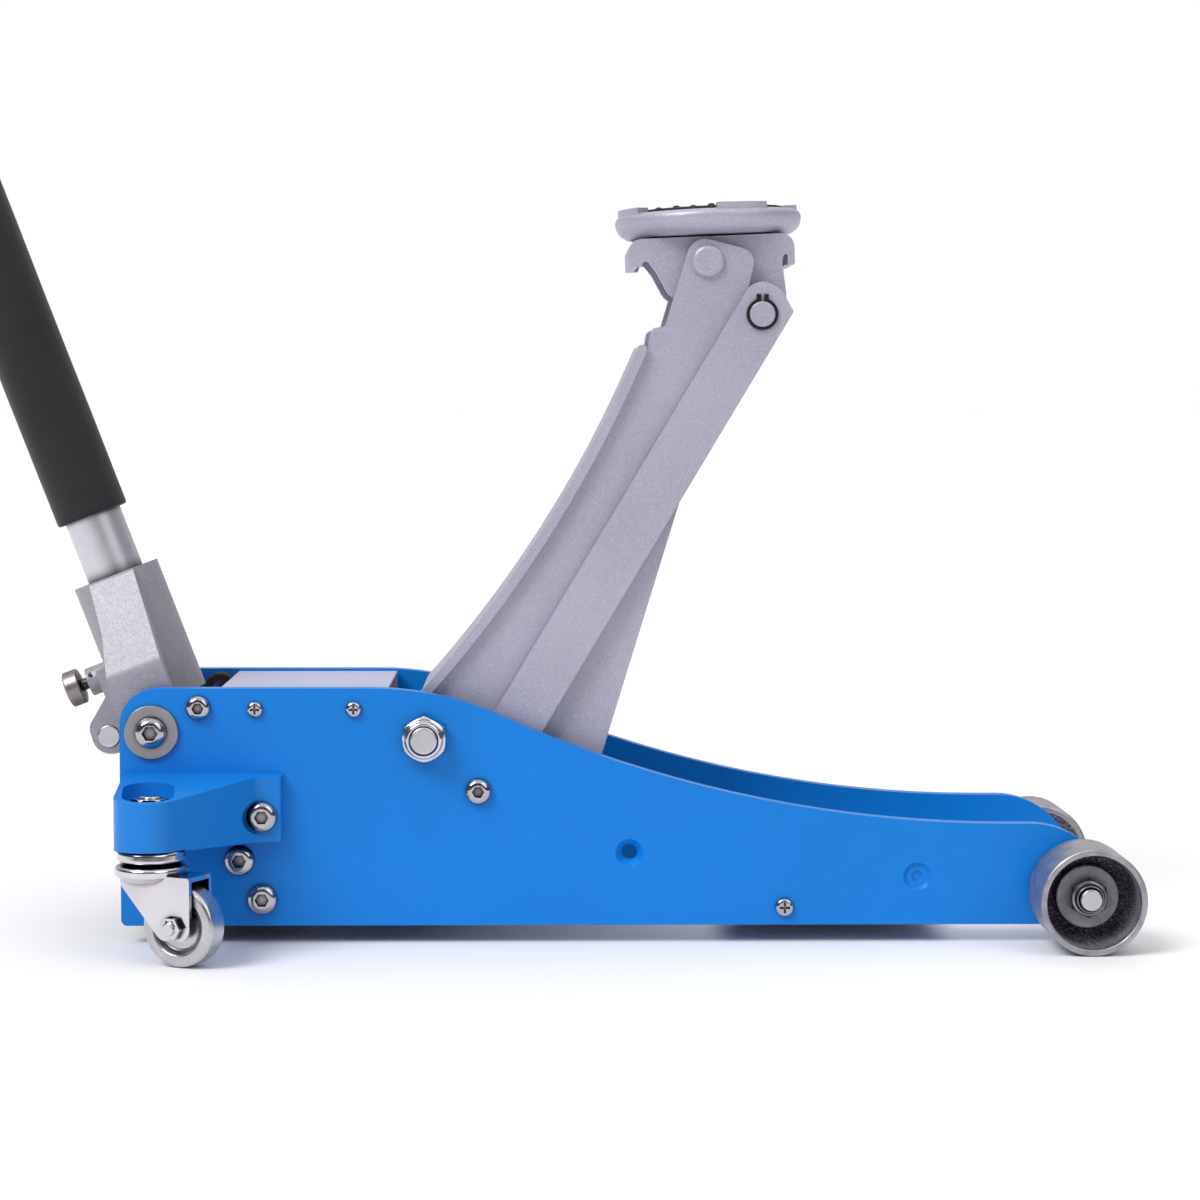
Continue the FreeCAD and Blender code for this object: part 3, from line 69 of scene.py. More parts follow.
class Finish:
    """One node material: a Principled shader with helpers for what feeds it."""

    def __init__(self, name, colour, roughness, metallic=0.0, **extra):
        self.material = bpy.data.materials.new(name)
        self.material.use_nodes = True
        self.tree = self.material.node_tree
        self.shader = self.tree.nodes["Principled BSDF"]
        self.place = self.node("ShaderNodeTexCoord").outputs["Object"]
        self.shader.inputs["Base Color"].default_value = (*colour, 1)
        self.shader.inputs["Roughness"].default_value = roughness
        self.shader.inputs["Metallic"].default_value = metallic
        for socket, value in extra.items():
            self.shader.inputs[socket.replace("_", " ")].default_value = value
        self.colour = colour
        self.normal = None

    def node(self, kind, **settings):
        made = self.tree.nodes.new(kind)
        for key, value in settings.items():
            setattr(made, key, value)
        return made

    def link(self, source, target):
        self.tree.links.new(source, target)

    def grain(self, scale, detail=2.0, stretch=None):
        """Noise over the piece, scale in cells per metre."""
        at = self.place
        if stretch:
            mapping = self.node("ShaderNodeMapping")
            mapping.inputs["Scale"].default_value = stretch
            self.link(at, mapping.inputs["Vector"])
            at = mapping.outputs["Vector"]
        made = self.node("ShaderNodeTexNoise")
        made.inputs["Scale"].default_value = scale
        made.inputs["Detail"].default_value = detail
        self.link(at, made.inputs["Vector"])
        return made.outputs["Fac"]

    def cells(self, scale):
        """Cells over the piece: distance from each one's centre, and its own random colour."""
        made = self.node("ShaderNodeTexVoronoi", feature="F1")
        made.inputs["Scale"].default_value = scale
        self.link(self.place, made.inputs["Vector"])
        return made

    def spread(self, value, low, high, to_low, to_high):
        """Value from low..high carried to to_low..to_high, held within them."""
        made = self.node("ShaderNodeMapRange", clamp=True)
        self.link(value, made.inputs["Value"])
        limits = {"From Min": low, "From Max": high, "To Min": to_low, "To Max": to_high}
        for socket, number in limits.items():
            made.inputs[socket].default_value = number
        return made.outputs["Result"]

    def between(self, factor, first, second):
        """A colour between two, each a tuple or a socket."""
        made = self.node("ShaderNodeMix", data_type="RGBA")
        self.link(factor, made.inputs["Factor"])
        for socket, colour in ((FIRST_COLOUR, first), (SECOND_COLOUR, second)):
            if isinstance(colour, tuple):
                made.inputs[socket].default_value = (*colour, 1)
            else:
                self.link(colour, made.inputs[socket])
        return made.outputs[MIXED_COLOUR]

    def maths(self, operation, first, second=None):
        """The result of an operation on numbers or sockets."""
        made = self.node("ShaderNodeMath", operation=operation)
        for socket, value in zip(made.inputs, (first, second)):
            if value is None:
                continue
            if isinstance(value, (int, float)):
                socket.default_value = value
            else:
                self.link(value, socket)
        return made.outputs["Value"]

    def paint(self, colour):
        self.link(colour, self.shader.inputs["Base Color"])

    def polish(self, value, low, high, smooth, rough):
        """Roughness that goes from smooth to rough as value goes from low to high."""
        roughness = self.spread(value, low, high, smooth, rough)
        self.link(roughness, self.shader.inputs["Roughness"])

    def emboss(self, height, depth, strength=1.0):
        """Bump of the given depth in metres, on top of any before it."""
        made = self.node("ShaderNodeBump")
        made.inputs["Distance"].default_value = depth
        made.inputs["Strength"].default_value = strength
        self.link(height, made.inputs["Height"])
        if self.normal:
            self.link(self.normal, made.inputs["Normal"])
        self.normal = made.outputs["Normal"]
        self.link(self.normal, self.shader.inputs["Normal"])

    def painted_corner_shade(self, colour, reach, low, high, shade):
        """The colour, darkened to shade in sockets and corners within reach metres: painted shade,
        from ambient occlusion.
        """
        near = self.node("ShaderNodeAmbientOcclusion", samples=8)
        near.inputs["Distance"].default_value = reach
        return self.between(self.spread(near.outputs["AO"], low, high, 0, 1), shade, colour)

    def tinted(self, light, dark, scale=14):
        """Faint uneven colour over the whole piece."""
        bright = tuple(min(1, part * light) for part in self.colour)
        dull = tuple(part * dark for part in self.colour)
        return self.between(self.spread(self.grain(scale, 4.0), 0.3, 0.7, 0, 1), dull, bright)

    def around(self, point, axis):
        """How far along the axis through point, and how far from it, each spot lies."""
        shift = self.node("ShaderNodeVectorMath", operation="SUBTRACT")
        self.link(self.place, shift.inputs[0])
        shift.inputs[1].default_value = point
        along = self.node("ShaderNodeVectorMath", operation="DOT_PRODUCT")
        self.link(shift.outputs[0], along.inputs[0])
        along.inputs[1].default_value = axis
        away = self.node("ShaderNodeVectorMath", operation="CROSS_PRODUCT")
        self.link(shift.outputs[0], away.inputs[0])
        away.inputs[1].default_value = axis
        length = self.node("ShaderNodeVectorMath", operation="LENGTH")
        self.link(away.outputs[0], length.inputs[0])
        return along.outputs["Value"], length.outputs["Value"]

    def turned(self, point, axis, pitch=0.0004, depth=0.00001):
        """Fine lathe marks round an axis, on faces and rims alike."""
        along, radius = self.around(point, axis)
        ridge = self.maths("MULTIPLY", self.maths("ADD", radius, along), 1 / pitch)
        drift = self.maths("MULTIPLY", self.grain(60), 6.0)
        self.emboss(self.maths("SINE", self.maths("ADD", ridge, drift)), depth, 0.6)


def azure_coat(name, colour, peel):
    """Satin azure powder coat with a fine orange-peel skin and faint dust."""
    made = Finish(name, colour, 0.36, Specular_IOR_Level=0.30)
    made.paint(made.tinted(1.04, 0.95))
    made.polish(made.grain(45, 5.0), 0.3, 0.75, 0.32, 0.44)
    made.emboss(made.grain(420, 2.0), 0.00003, peel)
    made.emboss(made.grain(2600, 1.0), 0.000012, 0.5)
    return made.material


def silver_coat(name, colour, flake, peel, metallic=0.3, contrast=1.0):
    """Silver metallic powder coat: a pebbled skin with bright and dark flakes in it."""
    made = Finish(name, colour, 0.42, metallic, Specular_IOR_Level=0.45)
    cell = made.cells(flake)
    split = made.node("ShaderNodeSeparateColor")
    made.link(cell.outputs["Color"], split.inputs["Color"])
    bright = tuple(min(1, part * (1 + 0.40 * contrast)) for part in colour)
    dark = tuple(part * (1 - 0.28 * contrast) for part in colour)
    flecks = made.spread(split.outputs["Red"], 0.86, 0.97, 0, 1)
    flecks = made.between(flecks, made.tinted(1.06, 0.93, 22), bright)
    flecks = made.between(made.spread(split.outputs["Green"], 0.88, 0.97, 0, 0.9), flecks, dark)
    made.paint(flecks)
    made.polish(split.outputs["Blue"], 0.0, 1.0, 0.34, 0.52)
    made.emboss(made.grain(1500, 2.0), 0.00003, peel)
    return made.material


# how far the plating's painted shade reaches into sockets and corners, in metres
PAINTED_SHADE_REACH = 0.009
LENGTHWAYS = (1, 1, 0.12)


def plated(name, colour, roughness, streak=700, spots=0.10):
    """Bright plating: faint smears and very fine scratches, with painted shade in its sockets and
    corners.
    """
    made = Finish(name, colour, roughness, 1.0)
    # painted shade: the colour goes nearly black in sockets and corners
    shade = tuple(part * 0.05 for part in colour)
    made.paint(made.painted_corner_shade(made.tinted(1.04, 0.90, 60), PAINTED_SHADE_REACH, 0.45, 0.82, shade))
    made.polish(made.grain(160, 6.0), 0.3, 0.8, roughness, roughness + spots)
    made.emboss(made.grain(streak, 3.0, LENGTHWAYS), 0.000008, 0.35)
    return made.material


def rubber(name, colour, roughness, scale, depth, sheen=0.0):
    """Matt black rubber or foam with a fine open grain."""
    made = Finish(name, colour, roughness, Sheen_Weight=sheen, Sheen_Roughness=0.5,
                  Specular_IOR_Level=0.35)
    pores = made.cells(scale)
    speck = made.spread(pores.outputs["Distance"], 0.05, 0.6, 0, 1)
    deep = tuple(part * 0.7 for part in colour)
    made.paint(made.between(speck, deep, made.tinted(1.25, 0.85, 30)))
    made.polish(made.grain(35, 4.0), 0.3, 0.7, roughness - 0.06, roughness + 0.08)
    made.emboss(pores.outputs["Distance"], depth, 0.7)
    made.emboss(made.grain(scale * 0.4, 3.0), depth, 0.4)
    return made.material


# in metres: where the front roller's cup and hub end, and how far from the hub's end face
# its bare steel reaches
CUP_EDGE = (0.0216, 0.0221)
HUB_EDGE = (0.0143, 0.0150)
HUB_FACE = (0.0008, 0.0016)
METAL, CUP_METAL_LESS = 0.85, 0.65


def roller_steel(name, point, axis):
    """Front roller: a turned rim and tread round a rough cast cup with a bare hub."""
    made = Finish(name, (0.36, 0.35, 0.375), 0.4, METAL)
    along, radius = made.around(point, axis)
    cup = made.spread(radius, *CUP_EDGE, 1, 0)
    hub = made.spread(radius, *HUB_EDGE, 1, 0)
    face = made.spread(made.maths("ABSOLUTE", along), *HUB_FACE, 1, 0)
    bare = made.maths("MULTIPLY", hub, face)
    made.turned(point, axis, 0.00035, 0.000012)
    pits = made.grain(1100, 4.0)
    glitter = made.node("ShaderNodeSeparateColor")
    made.link(made.cells(2300).outputs["Color"], glitter.inputs["Color"])
    depth = made.spread(pits, 0.35, 0.7, 0, 1)
    sand = made.between(depth, (0.018, 0.016, 0.02), (0.085, 0.078, 0.095))
    sparks = made.spread(glitter.outputs["Red"], 0.74, 0.98, 0, 0.9)
    sand = made.between(sparks, sand, (0.50, 0.48, 0.55))
    stain = made.spread(made.grain(150, 5.0), 0.35, 0.75, 0, 1)
    worn = made.between(stain, (0.46, 0.44, 0.50), (0.28, 0.265, 0.31))
    bright = made.between(stain, (0.44, 0.43, 0.47), (0.29, 0.28, 0.31))
    made.paint(made.between(cup, bright, made.between(bare, sand, worn)))
    rough = made.node("ShaderNodeMix", data_type="FLOAT")
    made.link(cup, rough.inputs["Factor"])
    made.link(made.spread(made.grain(220, 4.0), 0.3, 0.7, 0.34, 0.5), rough.inputs["A"])
    rough.inputs["B"].default_value = 0.7
    made.link(rough.outputs["Result"], made.shader.inputs["Roughness"])
    metal = made.maths("SUBTRACT", METAL, made.maths("MULTIPLY", cup, CUP_METAL_LESS))
    made.link(metal, made.shader.inputs["Metallic"])
    made.emboss(made.maths("MULTIPLY", pits, made.maths("SUBTRACT", cup, bare)), 0.0005, 0.9)
    return made.material


def lathe_steel(name, point, axis, colour, roughness):
    """Zinc-plated turned steel with rings round its axis."""
    made = Finish(name, colour, roughness, 1.0)
    made.turned(point, axis)
    made.paint(made.tinted(1.05, 0.85, 120))
    made.polish(made.grain(200, 5.0), 0.3, 0.75, roughness, roughness + 0.12)
    return made.material


def axis_of(name):
    """A joint's point and axis at rest."""
    return Vector(joints[name]["pos_m"]), Vector(joints[name]["axis"])


AZURE = azure_coat("azure_powder_coat", (0.0, 0.195, 0.66), 0.30)
AZURE_CAST = azure_coat("azure_cast_coat", (0.006, 0.195, 0.63), 0.55)
SILVER = silver_coat("silver_powder_coat", (0.42, 0.405, 0.50), 3400, 0.45)
# the handle socket's coarse cast silver: the coarse flakes and skin are its own, but its tone,
# darker than the arm's silver, is painted shade for the socket's shaded sides
SILVER_COARSE_SHADED = silver_coat("coarse_silver_coat_painted_shade", (0.32, 0.305, 0.345), 2600, 0.7, 0.2)
COVER = silver_coat("pale_cover_coat", (0.42, 0.43, 0.60), 4200, 0.2, 0.1, 0.4)
CHROME = plated("bright_chrome", (0.70, 0.67, 0.715), 0.10)
BOLT_CHROME = plated("dark_chrome", (0.47, 0.445, 0.49), 0.09)
ZINC = plated("zinc_plate", (0.60, 0.60, 0.635), 0.26, 400)
KNOB_STEEL = plated("knob_steel", (0.33, 0.30, 0.31), 0.34, 400)
NUT_STEEL = plated("nut_steel", (0.34, 0.33, 0.36), 0.24, 400)
WASHER = plated("dull_washer", (0.36, 0.345, 0.37), 0.30, 500)
TUBE = plated("satin_silver_tube", (0.66, 0.645, 0.70), 0.36, 900, 0.08)
PUMP = silver_coat("pump_paint", (0.07, 0.073, 0.08), 1800, 0.8, 0.1)
OXIDE = plated("black_oxide", (0.045, 0.045, 0.05), 0.34, 900)
FOAM = rubber("black_foam", (0.012, 0.011, 0.014), 0.72, 2200, 0.00006, 0.15)
RUBBER = rubber("black_rubber", (0.022, 0.021, 0.023), 0.55, 1500, 0.00003)


# ---------------------------------------------------------------- the CAD pieces, shown as they are

# corners closer than this are one, and edges sharper than this are rounded
JOIN_WITHIN = 0.000004
SHARP = math.radians(32)


def dress(name, material, edge):
    """Give a CAD node its finish and a small rounded edge, in millimetres."""
    piece = nodes[name]
    piece.data.materials.clear()
    piece.data.materials.append(material)
    soften(piece, edge)


def soften(piece, edge):
    """Join split corners, round the sharp edges by edge mm and shade the rest smooth."""
    for layer in [layer for layer in piece.data.attributes if layer.name == "custom_normal"]:
        piece.data.attributes.remove(layer)
    piece.data.polygons.foreach_set("use_smooth", [True] * len(piece.data.polygons))
    weld = piece.modifiers.new("join", "WELD")
    weld.merge_threshold = JOIN_WITHIN
    if edge:
        bevel = piece.modifiers.new("edge", "BEVEL")
        bevel.width = edge * MM
        bevel.segments = 2
        bevel.limit_method = "ANGLE"
        bevel.angle_limit = SHARP
        bevel.miter_outer = "MITER_ARC"
    faces = piece.modifiers.new("faces", "WEIGHTED_NORMAL")
    faces.keep_sharp = False
    faces.weight = 80


for names, material, edge in (
    (("right_side_plate", "left_side_plate"), AZURE, 0.9),
    (("sunk_screws",), AZURE, 0.3),
    (("caster_bracket_right", "caster_bracket_left"), AZURE_CAST, 0.9),
    (("arm_right_plate", "arm_left_plate", "link_rods"), SILVER, 0.8),
    (("arm_web",), SILVER, 1.5),
    (("arm_pivot_tube", "saddle_pivots", "head_pin", "saddle_retainer"), SILVER, 0.3),
    (("head_bracket", "saddle_cup"), SILVER, 0.6),
    (("handle_socket",), SILVER_COARSE_SHADED, 0.6),
    (("top_cover", "base_plate"), COVER, 0.25),
    (("block_bolts", "stop_bolts", "handle_pivot_bolts", "rod_pivot_bolts"), BOLT_CHROME, 0.2),
    (("cover_screws", "base_plate_screws"), BOLT_CHROME, 0.15),
    (("caster_stems",), CHROME, 0.15),
    (("caster_fork_right", "caster_fork_left"), CHROME, 0.3),
    (("caster_axle_right", "caster_axle_left"), CHROME, 0.2),
    (("front_axle", "arm_shaft", "ram_pin", "roller_pin"), ZINC, 0.3),
    (("pivot_washers",), WASHER, 0.3),
    (("pump_rollers", "pump_plungers", "release_valve", "ram_rod"), ZINC, 0.3),
    (("valve_driver",), ZINC, 0.2),
    (("handle_lower_tube", "handle_upper_tube"), TUBE, 0.2),
    (("head_pin_clips",), OXIDE, 0.1),
    (("pump_block", "ram_cylinder", "oil_tank"), PUMP, 0.8),
    (("socket_stops",), RUBBER, 0.4),
):
    for name in names:
        dress(name, material, edge)
for side in ("right", "left"):
    at, axis = axis_of(f"front_roll_{side}")
    dress(f"front_wheel_{side}", roller_steel(f"roller_steel_{side}", at, axis), 0.4)
    at, axis = axis_of(f"caster_roll_{side}")
    steel = lathe_steel(f"caster_steel_{side}", at, axis, (0.58, 0.565, 0.60), 0.24)
    dress(f"caster_wheel_{side}", steel, 0.3)


# ---------------------------------------------------------------- pieces made here

def along(point, axis):
    """A matrix from the point with its Z along the axis and X in the jack's middle plane."""
    up = Vector(axis).normalized()
    side = Vector(ACROSS)
    ahead = side.cross(up)
    if ahead.length < 0.5:
        ahead = Vector((1, 0, 0))
        side = up.cross(ahead)
    return Matrix.Translation(point) @ Matrix((ahead, side, up)).transposed().to_4x4()


def finish_piece(name, mesh, material, body, replaced=()):
    """Turn a bmesh, already in the row frame, into a piece that rides on a body."""
    bmesh.ops.recalc_face_normals(mesh, faces=mesh.faces)
    data = bpy.data.meshes.new(name)
    mesh.to_mesh(data)
    mesh.free()
    piece = bpy.data.objects.new(name, data)
    scene.collection.objects.link(piece)
    data.materials.append(material)
    data.polygons.foreach_set("use_smooth", [True] * len(data.polygons))
    soften(piece, 0)
    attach(piece, body)
    if replaced:
        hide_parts(*replaced)
    return piece


def lathe(mesh, profile, where, sides, ripple=None):
    """Turn a profile of (radius, height) in mm round where's Z axis.

    An end on the axis closes the form. ripple(turn, radius, height) is added to the radius.
    """
    rings = []
    for radius, height in profile:
        if radius == 0:
            rings.append([mesh.verts.new(where @ Vector((0, 0, height * MM)))])
            continue
        ring = []
        for step in range(sides):
            turn = 2 * math.pi * step / sides
            reach = radius + (ripple(turn, radius, height) if ripple else 0)
            spot = Vector((math.cos(turn) * reach, math.sin(turn) * reach, height)) * MM
            ring.append(mesh.verts.new(where @ spot))
        rings.append(ring)
    for low, high in zip(rings, rings[1:]):
        for step in range(sides):
            ahead = (step + 1) % sides
            if len(low) == 1 and len(high) == 1:
                continue
            if len(low) == 1:
                mesh.faces.new((low[0], high[step], high[ahead]))
            elif len(high) == 1:
                mesh.faces.new((low[ahead], low[step], high[0]))
            else:
                mesh.faces.new((low[step], high[step], high[ahead], low[ahead]))


def rod(mesh, points, radius, sides):
    """A round wire through the points, closed at both ends."""
    rings = []
    side = None
    for at, point in enumerate(points):
        ahead = (points[min(at + 1, len(points) - 1)] - points[max(at - 1, 0)]).normalized()
        if side is None:
            side = ahead.orthogonal().normalized()
        side = (side - ahead * side.dot(ahead)).normalized()
        other = ahead.cross(side)
        ring = []
        for step in range(sides):
            turn = 2 * math.pi * step / sides
            reach = (side * math.cos(turn) + other * math.sin(turn)) * radius
            ring.append(mesh.verts.new(point + reach))
        rings.append(ring)
    for low, high in zip(rings, rings[1:]):
        for step in range(sides):
            ahead = (step + 1) % sides
            mesh.faces.new((low[step], low[ahead], high[ahead], high[step]))
    mesh.faces.new(list(reversed(rings[0])))
    mesh.faces.new(rings[-1])


def coil_points(where, length, radius, turns, steps=14):
    """A close-wound coil along where's Z axis, its first and last turns flat."""
    points = []
    for at in range(turns * steps + 1):
        turn = 2 * math.pi * at / steps
        share = min(max((at / steps - 0.75) / (turns - 1.5), 0), 1)
        spot = Vector((math.cos(turn) * radius, math.sin(turn) * radius, length * share))
        points.append(where @ spot)
    return points


# saddle pad: a rubber disc with a rim and square rows of round nubs
saddle = along(*axis_of("saddle_turn"))
PAD_TILT = 1.62  # the leaning pad's box stands this much above its middle
PAD_TOP = (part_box("saddle_pad")[1].z - saddle.translation.z) / MM - PAD_TILT
PAD_FOOT = PAD_TOP - 7.3
NUB_PITCH, NUB_ROWS, NUB_REACH = 8.2, 4, 33
mesh = bmesh.new()
disc = [(0, PAD_FOOT), (36.9, PAD_FOOT), (37.25, PAD_FOOT + 0.4), (37.25, PAD_TOP - 1.9)]
disc += [(36.7, PAD_TOP - 1.3), (35.2, PAD_TOP - 1.3), (34.8, PAD_TOP - 1.5), (0, PAD_TOP - 1.5)]
lathe(mesh, disc, saddle, 96)
nub = [(2.1, PAD_TOP - 2), (1.9, PAD_TOP - 1.2), (1.6, PAD_TOP - 0.5), (0.95, PAD_TOP - 0.1)]
nub += [(0, PAD_TOP)]
for row in range(-NUB_ROWS, NUB_ROWS + 1):
    for column in range(-NUB_ROWS, NUB_ROWS + 1):
        across, up = column * NUB_PITCH, row * NUB_PITCH
        if math.hypot(across, up) > NUB_REACH:
            continue
        lathe(mesh, nub, saddle @ Matrix.Translation(Vector((across, up, 0)) * MM), 14)
finish_piece("nubbed_saddle_pad", mesh, RUBBER, "saddle", ("saddle_pad",))

# thumbscrew: shank, neck and a diamond-knurled knob with a dished end
screw = along(*axis_of("thumbscrew_turn"))
TEETH, KNURL_DEPTH, KNURL_SLANT = 54, 0.34, 3.0
KNOB_RADIUS = 8.95
KNOB_FOOT, KNOB_TOP, KNOB_RINGS = 33.2, 39.3, 16


def knurl(turn, radius, height):
    """Two slanting sets of grooves that cross, cut into the knob's rim only."""
    if radius < KNOB_RADIUS - 0.05:
        return 0
    lift = (height - KNOB_FOOT) / (KNOB_TOP - KNOB_FOOT) * 2 * math.pi * KNURL_SLANT
    ridge = abs(math.sin(turn * TEETH / 2 + lift)) * abs(math.sin(turn * TEETH / 2 - lift))
    return -KNURL_DEPTH * (1 - ridge)


mesh = bmesh.new()
profile = [(0, 10.25), (2.0, 10.25), (2.3, 10.6), (2.3, 12.7), (2.9, 13.3), (2.9, 29.4)]
profile += [(2.9, 31.4), (3.0, 31.9), (3.2, 32.5), (8.0, 32.55), (8.5, 32.8)]
profile += [(KNOB_RADIUS, KNOB_FOOT + (KNOB_TOP - KNOB_FOOT) * ring / KNOB_RINGS)
            for ring in range(KNOB_RINGS + 1)]
profile += [(8.5, 39.7), (8.0, 39.95), (6.4, 39.95), (5.6, 39.3), (0, 39.2)]
lathe(mesh, profile, screw, TEETH * 4, knurl)
finish_piece("knurled_thumbscrew", mesh, KNOB_STEEL, "thumbscrew", ("thumbscrew",))


# lock nuts: a chamfered hexagon with a round collar crimped over its insert
SIXTH = math.pi / 3


def lock_nut(name, node, side, material, *, corner, foot, top, collar, end, bore):
    """Radii, and heights out from the jack's middle plane, in mm.

    corner is the hexagon's, between foot and top, and collar is the round part's, up to end.
    The right-hand nut stands for the CAD pair.
    """
    flat = corner * math.cos(SIXTH / 2)

    def hexagon(turn, radius, height):
        """Flats cut into the round, between foot and top."""
        if not foot - 0.01 < height < top + 0.01:
            return 0
        return min(flat / math.cos((turn + SIXTH / 2) % SIXTH - SIXTH / 2) - radius, 0)

    low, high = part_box(node)
    centre = (low + high) / 2
    where = along((centre.x, 0, centre.z), (0, side, 0))
    profile = [(bore, foot), (flat * 0.99, foot), (flat * 1.02, foot + 0.25), (corner, foot + 1.3)]
    profile += [(corner, top - 1.9), (flat * 1.04, top - 0.6), (flat * 0.985, top - 0.12)]
    profile += [(collar + 0.6, top), (collar + 0.05, top + 0.3), (collar, top + 0.9)]
    profile += [(collar, end - 1.3), (collar - 0.35, end - 0.45), (collar - 1.1, end)]
    profile += [(bore + 0.5, end - 0.05)]
    profile += [(bore + 0.1, end - 0.5), (bore + 0.1, foot + 0.5), (bore, foot)]
    mesh = bmesh.new()
    lathe(mesh, profile, where, 96, hexagon)
    finish_piece(name, mesh, material, "chassis", (node,) if side < 0 else ())


for side, sign in (("right", -1), ("left", 1)):
    lock_nut(f"shaft_lock_nut_{side}", "arm_shaft_nuts", sign, CHROME,
             corner=11.9, foot=56.0, top=63.4, collar=8.9, end=67.1, bore=6.5)
    lock_nut(f"axle_lock_nut_{side}", "front_axle_nuts", sign, NUT_STEEL,
             corner=9.7, foot=76.6, top=81.4, collar=6.9, end=84.4, bore=5.3)

# springs, in mm: how far out each stands, the coil's mean radius, the wire's radius, and the
# number of turns; the right-hand ones stand for the CAD pairs
RETURN_OUT, RETURN_COIL, RETURN_WIRE, RETURN_TURNS = 26, 3.35, 0.6, 42
PLUNGER_OUT, PLUNGER_COIL, PLUNGER_WIRE, PLUNGER_TURNS = 20, 7.1, 0.8, 6
low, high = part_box("return_springs")
for side, sign in (("right", -1), ("left", 1)):
    mesh = bmesh.new()
    foot = Vector((low.x + 0.7 * MM, sign * RETURN_OUT * MM, low.z + 4.1 * MM))
    top = Vector((high.x - 1.5 * MM, sign * RETURN_OUT * MM, high.z - 4.1 * MM))
    where = along(foot, top - foot)
    wire = coil_points(where, (top - foot).length, RETURN_COIL * MM, RETURN_TURNS)
    rod(mesh, wire, RETURN_WIRE * MM, 7)
    spring = finish_piece(f"return_coil_{side}", mesh, OXIDE, "chassis",
                          ("return_springs",) if sign < 0 else ())
    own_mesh(spring)
    low_p, high_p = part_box("plunger_springs")
    mesh = bmesh.new()
    centre = (low_p.x + high_p.x) / 2
    foot = Vector((centre, sign * PLUNGER_OUT * MM, low_p.z + PLUNGER_WIRE * MM))
    where = along(foot, (0, 0, 1))
    length = high_p.z - low_p.z - 2 * PLUNGER_WIRE * MM
    wire = coil_points(where, length, PLUNGER_COIL * MM, PLUNGER_TURNS, 28)
    rod(mesh, wire, PLUNGER_WIRE * MM, 9)
    spring = finish_piece(f"plunger_coil_{side}", mesh, OXIDE, "chassis",
                          ("plunger_springs",) if sign < 0 else ())
    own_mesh(spring)

# foam sleeve and end grip: radii, and heights up the handle, in mm
handle = along(*axis_of("handle_twist"))
TUBE_RADIUS = 14.0
FOAM_RADIUS, FOAM_FOOT, FOAM_TOP, FOAM_RINGS = 18.0, 107.0, 496.0, 97
GRIP_RADIUS, GRIP_FOOT, GRIP_TOP = 16.4, 860.0, 1000
RIBS, RIB_PITCH, RIB_START, RIB_FLOOR = 19, 6.0, 872, 15.3


def lumps(turn, radius, height):
    """Foam isn't quite round: slow swells and a fine unevenness, always inward."""
    if radius <= TUBE_RADIUS + 1:
        return 0
    spot = Vector((math.cos(turn) * 3, math.sin(turn) * 3, height / 60))
    return (noise.noise(spot) - 1.0) * 0.16 + (noise.noise(spot * 6) - 1.0) * 0.05


mesh = bmesh.new()
profile = [(TUBE_RADIUS, FOAM_FOOT), (17.2, FOAM_FOOT), (17.8, 107.5), (FOAM_RADIUS, 108.6)]
profile += [(FOAM_RADIUS, 110 + 4 * ring) for ring in range(FOAM_RINGS)]
profile += [(17.7, 495.4), (17.0, FOAM_TOP), (TUBE_RADIUS, FOAM_TOP)]
lathe(mesh, profile, handle, 72, lumps)
foam = finish_piece("foam_grip_sleeve", mesh, FOAM, "handle", ("foam_sleeve",))

mesh = bmesh.new()
profile = [(TUBE_RADIUS, GRIP_FOOT), (15.6, GRIP_FOOT), (16.3, 860.8), (GRIP_RADIUS, 862)]
for rib in range(RIBS):
    foot = RIB_START + RIB_PITCH * rib
    profile += [(GRIP_RADIUS, foot - 0.4), (RIB_FLOOR, foot)]
    profile += [(RIB_FLOOR, foot + 1.8), (GRIP_RADIUS, foot + 2.2)]
profile += [(GRIP_RADIUS, 996), (15.6, 998.6), (13.4, 999.9), (5, GRIP_TOP), (0, GRIP_TOP)]
lathe(mesh, profile, handle, 64)
finish_piece("ribbed_end_grip", mesh, RUBBER, "handle", ("hand_grip",))


# ---------------------------------------------------------------- stage, light and camera

PALE = (0.86, 0.86, 0.865)
FLOOR_RINGS = [(0, 0), (2000, 0), (9000, 0), (60000, 0)]
FLOOR_DROP = 0.0002


def pale_floor():
    """A wide pale floor, round so that it ends alike on every side."""
    mesh = bmesh.new()
    lathe(mesh, FLOOR_RINGS, Matrix.Translation((0, 0, -FLOOR_DROP)), 96)
    data = bpy.data.meshes.new("floor")
    mesh.to_mesh(data)
    mesh.free()
    floor = bpy.data.objects.new("floor", data)
    scene.collection.objects.link(floor)
    made = Finish("pale_floor", PALE, 0.75, Specular_IOR_Level=0.2)
    made.paint(made.tinted(1.01, 0.99, 2))
    data.materials.append(made.material)


def sun(name, azimuth, elevation, strength, spread):
    """Soft light, angles in degrees: azimuth 0 shines along +Y, as the main view looks."""
    data = bpy.data.lights.new(name, "SUN")
    data.energy = strength
    data.angle = math.radians(spread)
    light = bpy.data.objects.new(name, data)
    azimuth, elevation = math.radians(azimuth), math.radians(elevation)
    flat = math.cos(elevation)
    back = Vector((math.sin(azimuth) * flat, -math.cos(azimuth) * flat, math.sin(elevation)))
    light.rotation_euler = back.to_track_quat("Z", "Y").to_euler()
    scene.collection.objects.link(light)


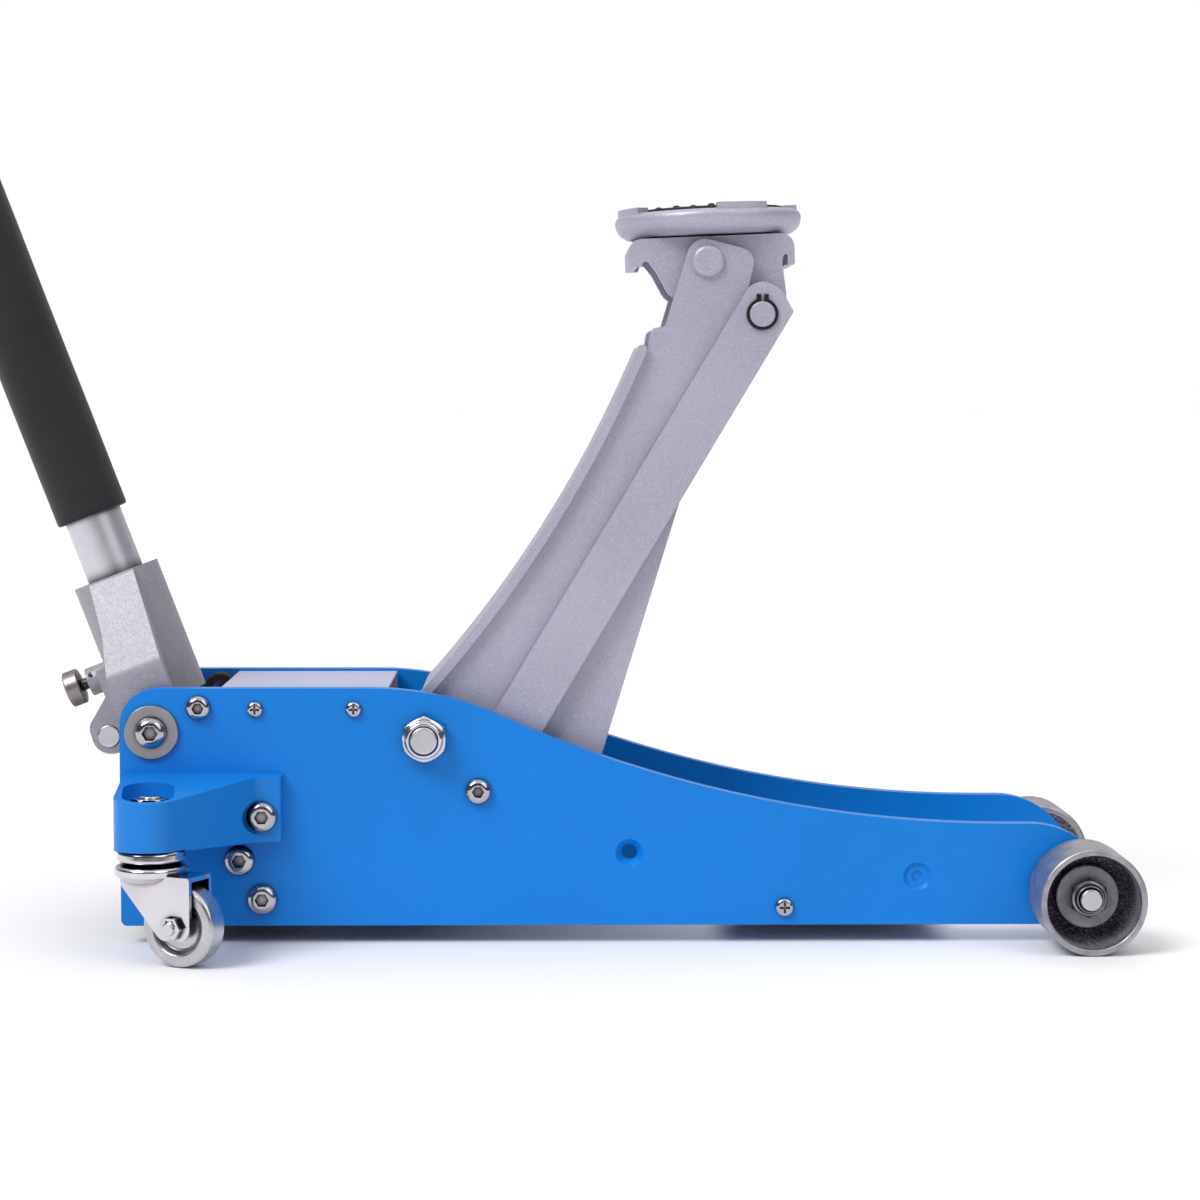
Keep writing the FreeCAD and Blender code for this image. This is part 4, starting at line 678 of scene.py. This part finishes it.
def studio():
    """White all round to the eye; as light, bright overhead and behind and dim at the sides."""
    world = bpy.data.worlds.new("pale_studio")
    scene.world = world
    world.use_nodes = True
    tree = world.node_tree
    sky = tree.nodes["Background"]
    place = tree.nodes.new("ShaderNodeTexCoord")
    split = tree.nodes.new("ShaderNodeSeparateXYZ")
    tree.links.new(place.outputs["Generated"], split.inputs[0])
    height = tree.nodes.new("ShaderNodeValToRGB")
    tree.links.new(split.outputs["Z"], height.inputs["Fac"])
    stops = height.color_ramp.elements
    stops[0].position, stops[0].color = 0.0, (0.10, 0.10, 0.10, 1)
    stops[1].position, stops[1].color = 0.90, (1.0, 1.0, 1.0, 1)
    for position, grey in ((0.30, 0.06), (0.55, 0.14), (0.70, 0.80)):
        stop = stops.new(position)
        stop.color = (grey, grey, grey, 1)
    behind = tree.nodes.new("ShaderNodeMapRange")
    tree.links.new(split.outputs["Y"], behind.inputs["Value"])
    limits = {"From Min": 0.1, "From Max": 0.8, "To Min": 0.0, "To Max": 0.55}
    for socket, number in limits.items():
        behind.inputs[socket].default_value = number
    total = tree.nodes.new("ShaderNodeMath")
    total.operation = "ADD"
    tree.links.new(height.outputs["Color"], total.inputs[0])
    tree.links.new(behind.outputs["Result"], total.inputs[1])
    seen = tree.nodes.new("ShaderNodeLightPath")
    shown = tree.nodes.new("ShaderNodeMix")
    tree.links.new(seen.outputs["Is Camera Ray"], shown.inputs["Factor"])
    tree.links.new(total.outputs["Value"], shown.inputs["A"])
    shown.inputs["B"].default_value = 1.0
    tree.links.new(shown.outputs["Result"], sky.inputs["Strength"])
    sky.inputs["Color"].default_value = (1, 1, 1, 1)


pale_floor()
studio()
sun("key_light", azimuth=-48, elevation=44, strength=2.1, spread=30)
sun("fill_light", azimuth=42, elevation=34, strength=0.55, spread=40)
scene.view_settings.view_transform = "Standard"

# where the view is taken from, in the row frame, and which way it looks
YAW, PITCH_DOWN, ROLL = math.radians(1.1556), math.radians(3.8605), math.radians(0.0906)
EYE = Vector((0.13513, -1.43181, 0.25754))
SENSOR, LENS = 36.0, 87.0
NEAREST, FARTHEST = 0.05, 60
flat = math.cos(PITCH_DOWN)
ahead = Vector((math.sin(YAW) * flat, math.cos(YAW) * flat, -math.sin(PITCH_DOWN)))
right = Vector((math.cos(YAW), -math.sin(YAW), 0))
up = right.cross(ahead)
right, up = (right * math.cos(ROLL) + up * math.sin(ROLL),
             up * math.cos(ROLL) - right * math.sin(ROLL))
data = bpy.data.cameras.new("camera")
data.sensor_width = SENSOR
data.lens = LENS
data.clip_start, data.clip_end = NEAREST, FARTHEST
camera = bpy.data.objects.new("camera", data)
camera.matrix_world = Matrix.Translation(EYE) @ Matrix((right, up, -ahead)).transposed().to_4x4()
scene.collection.objects.link(camera)
scene.camera = camera
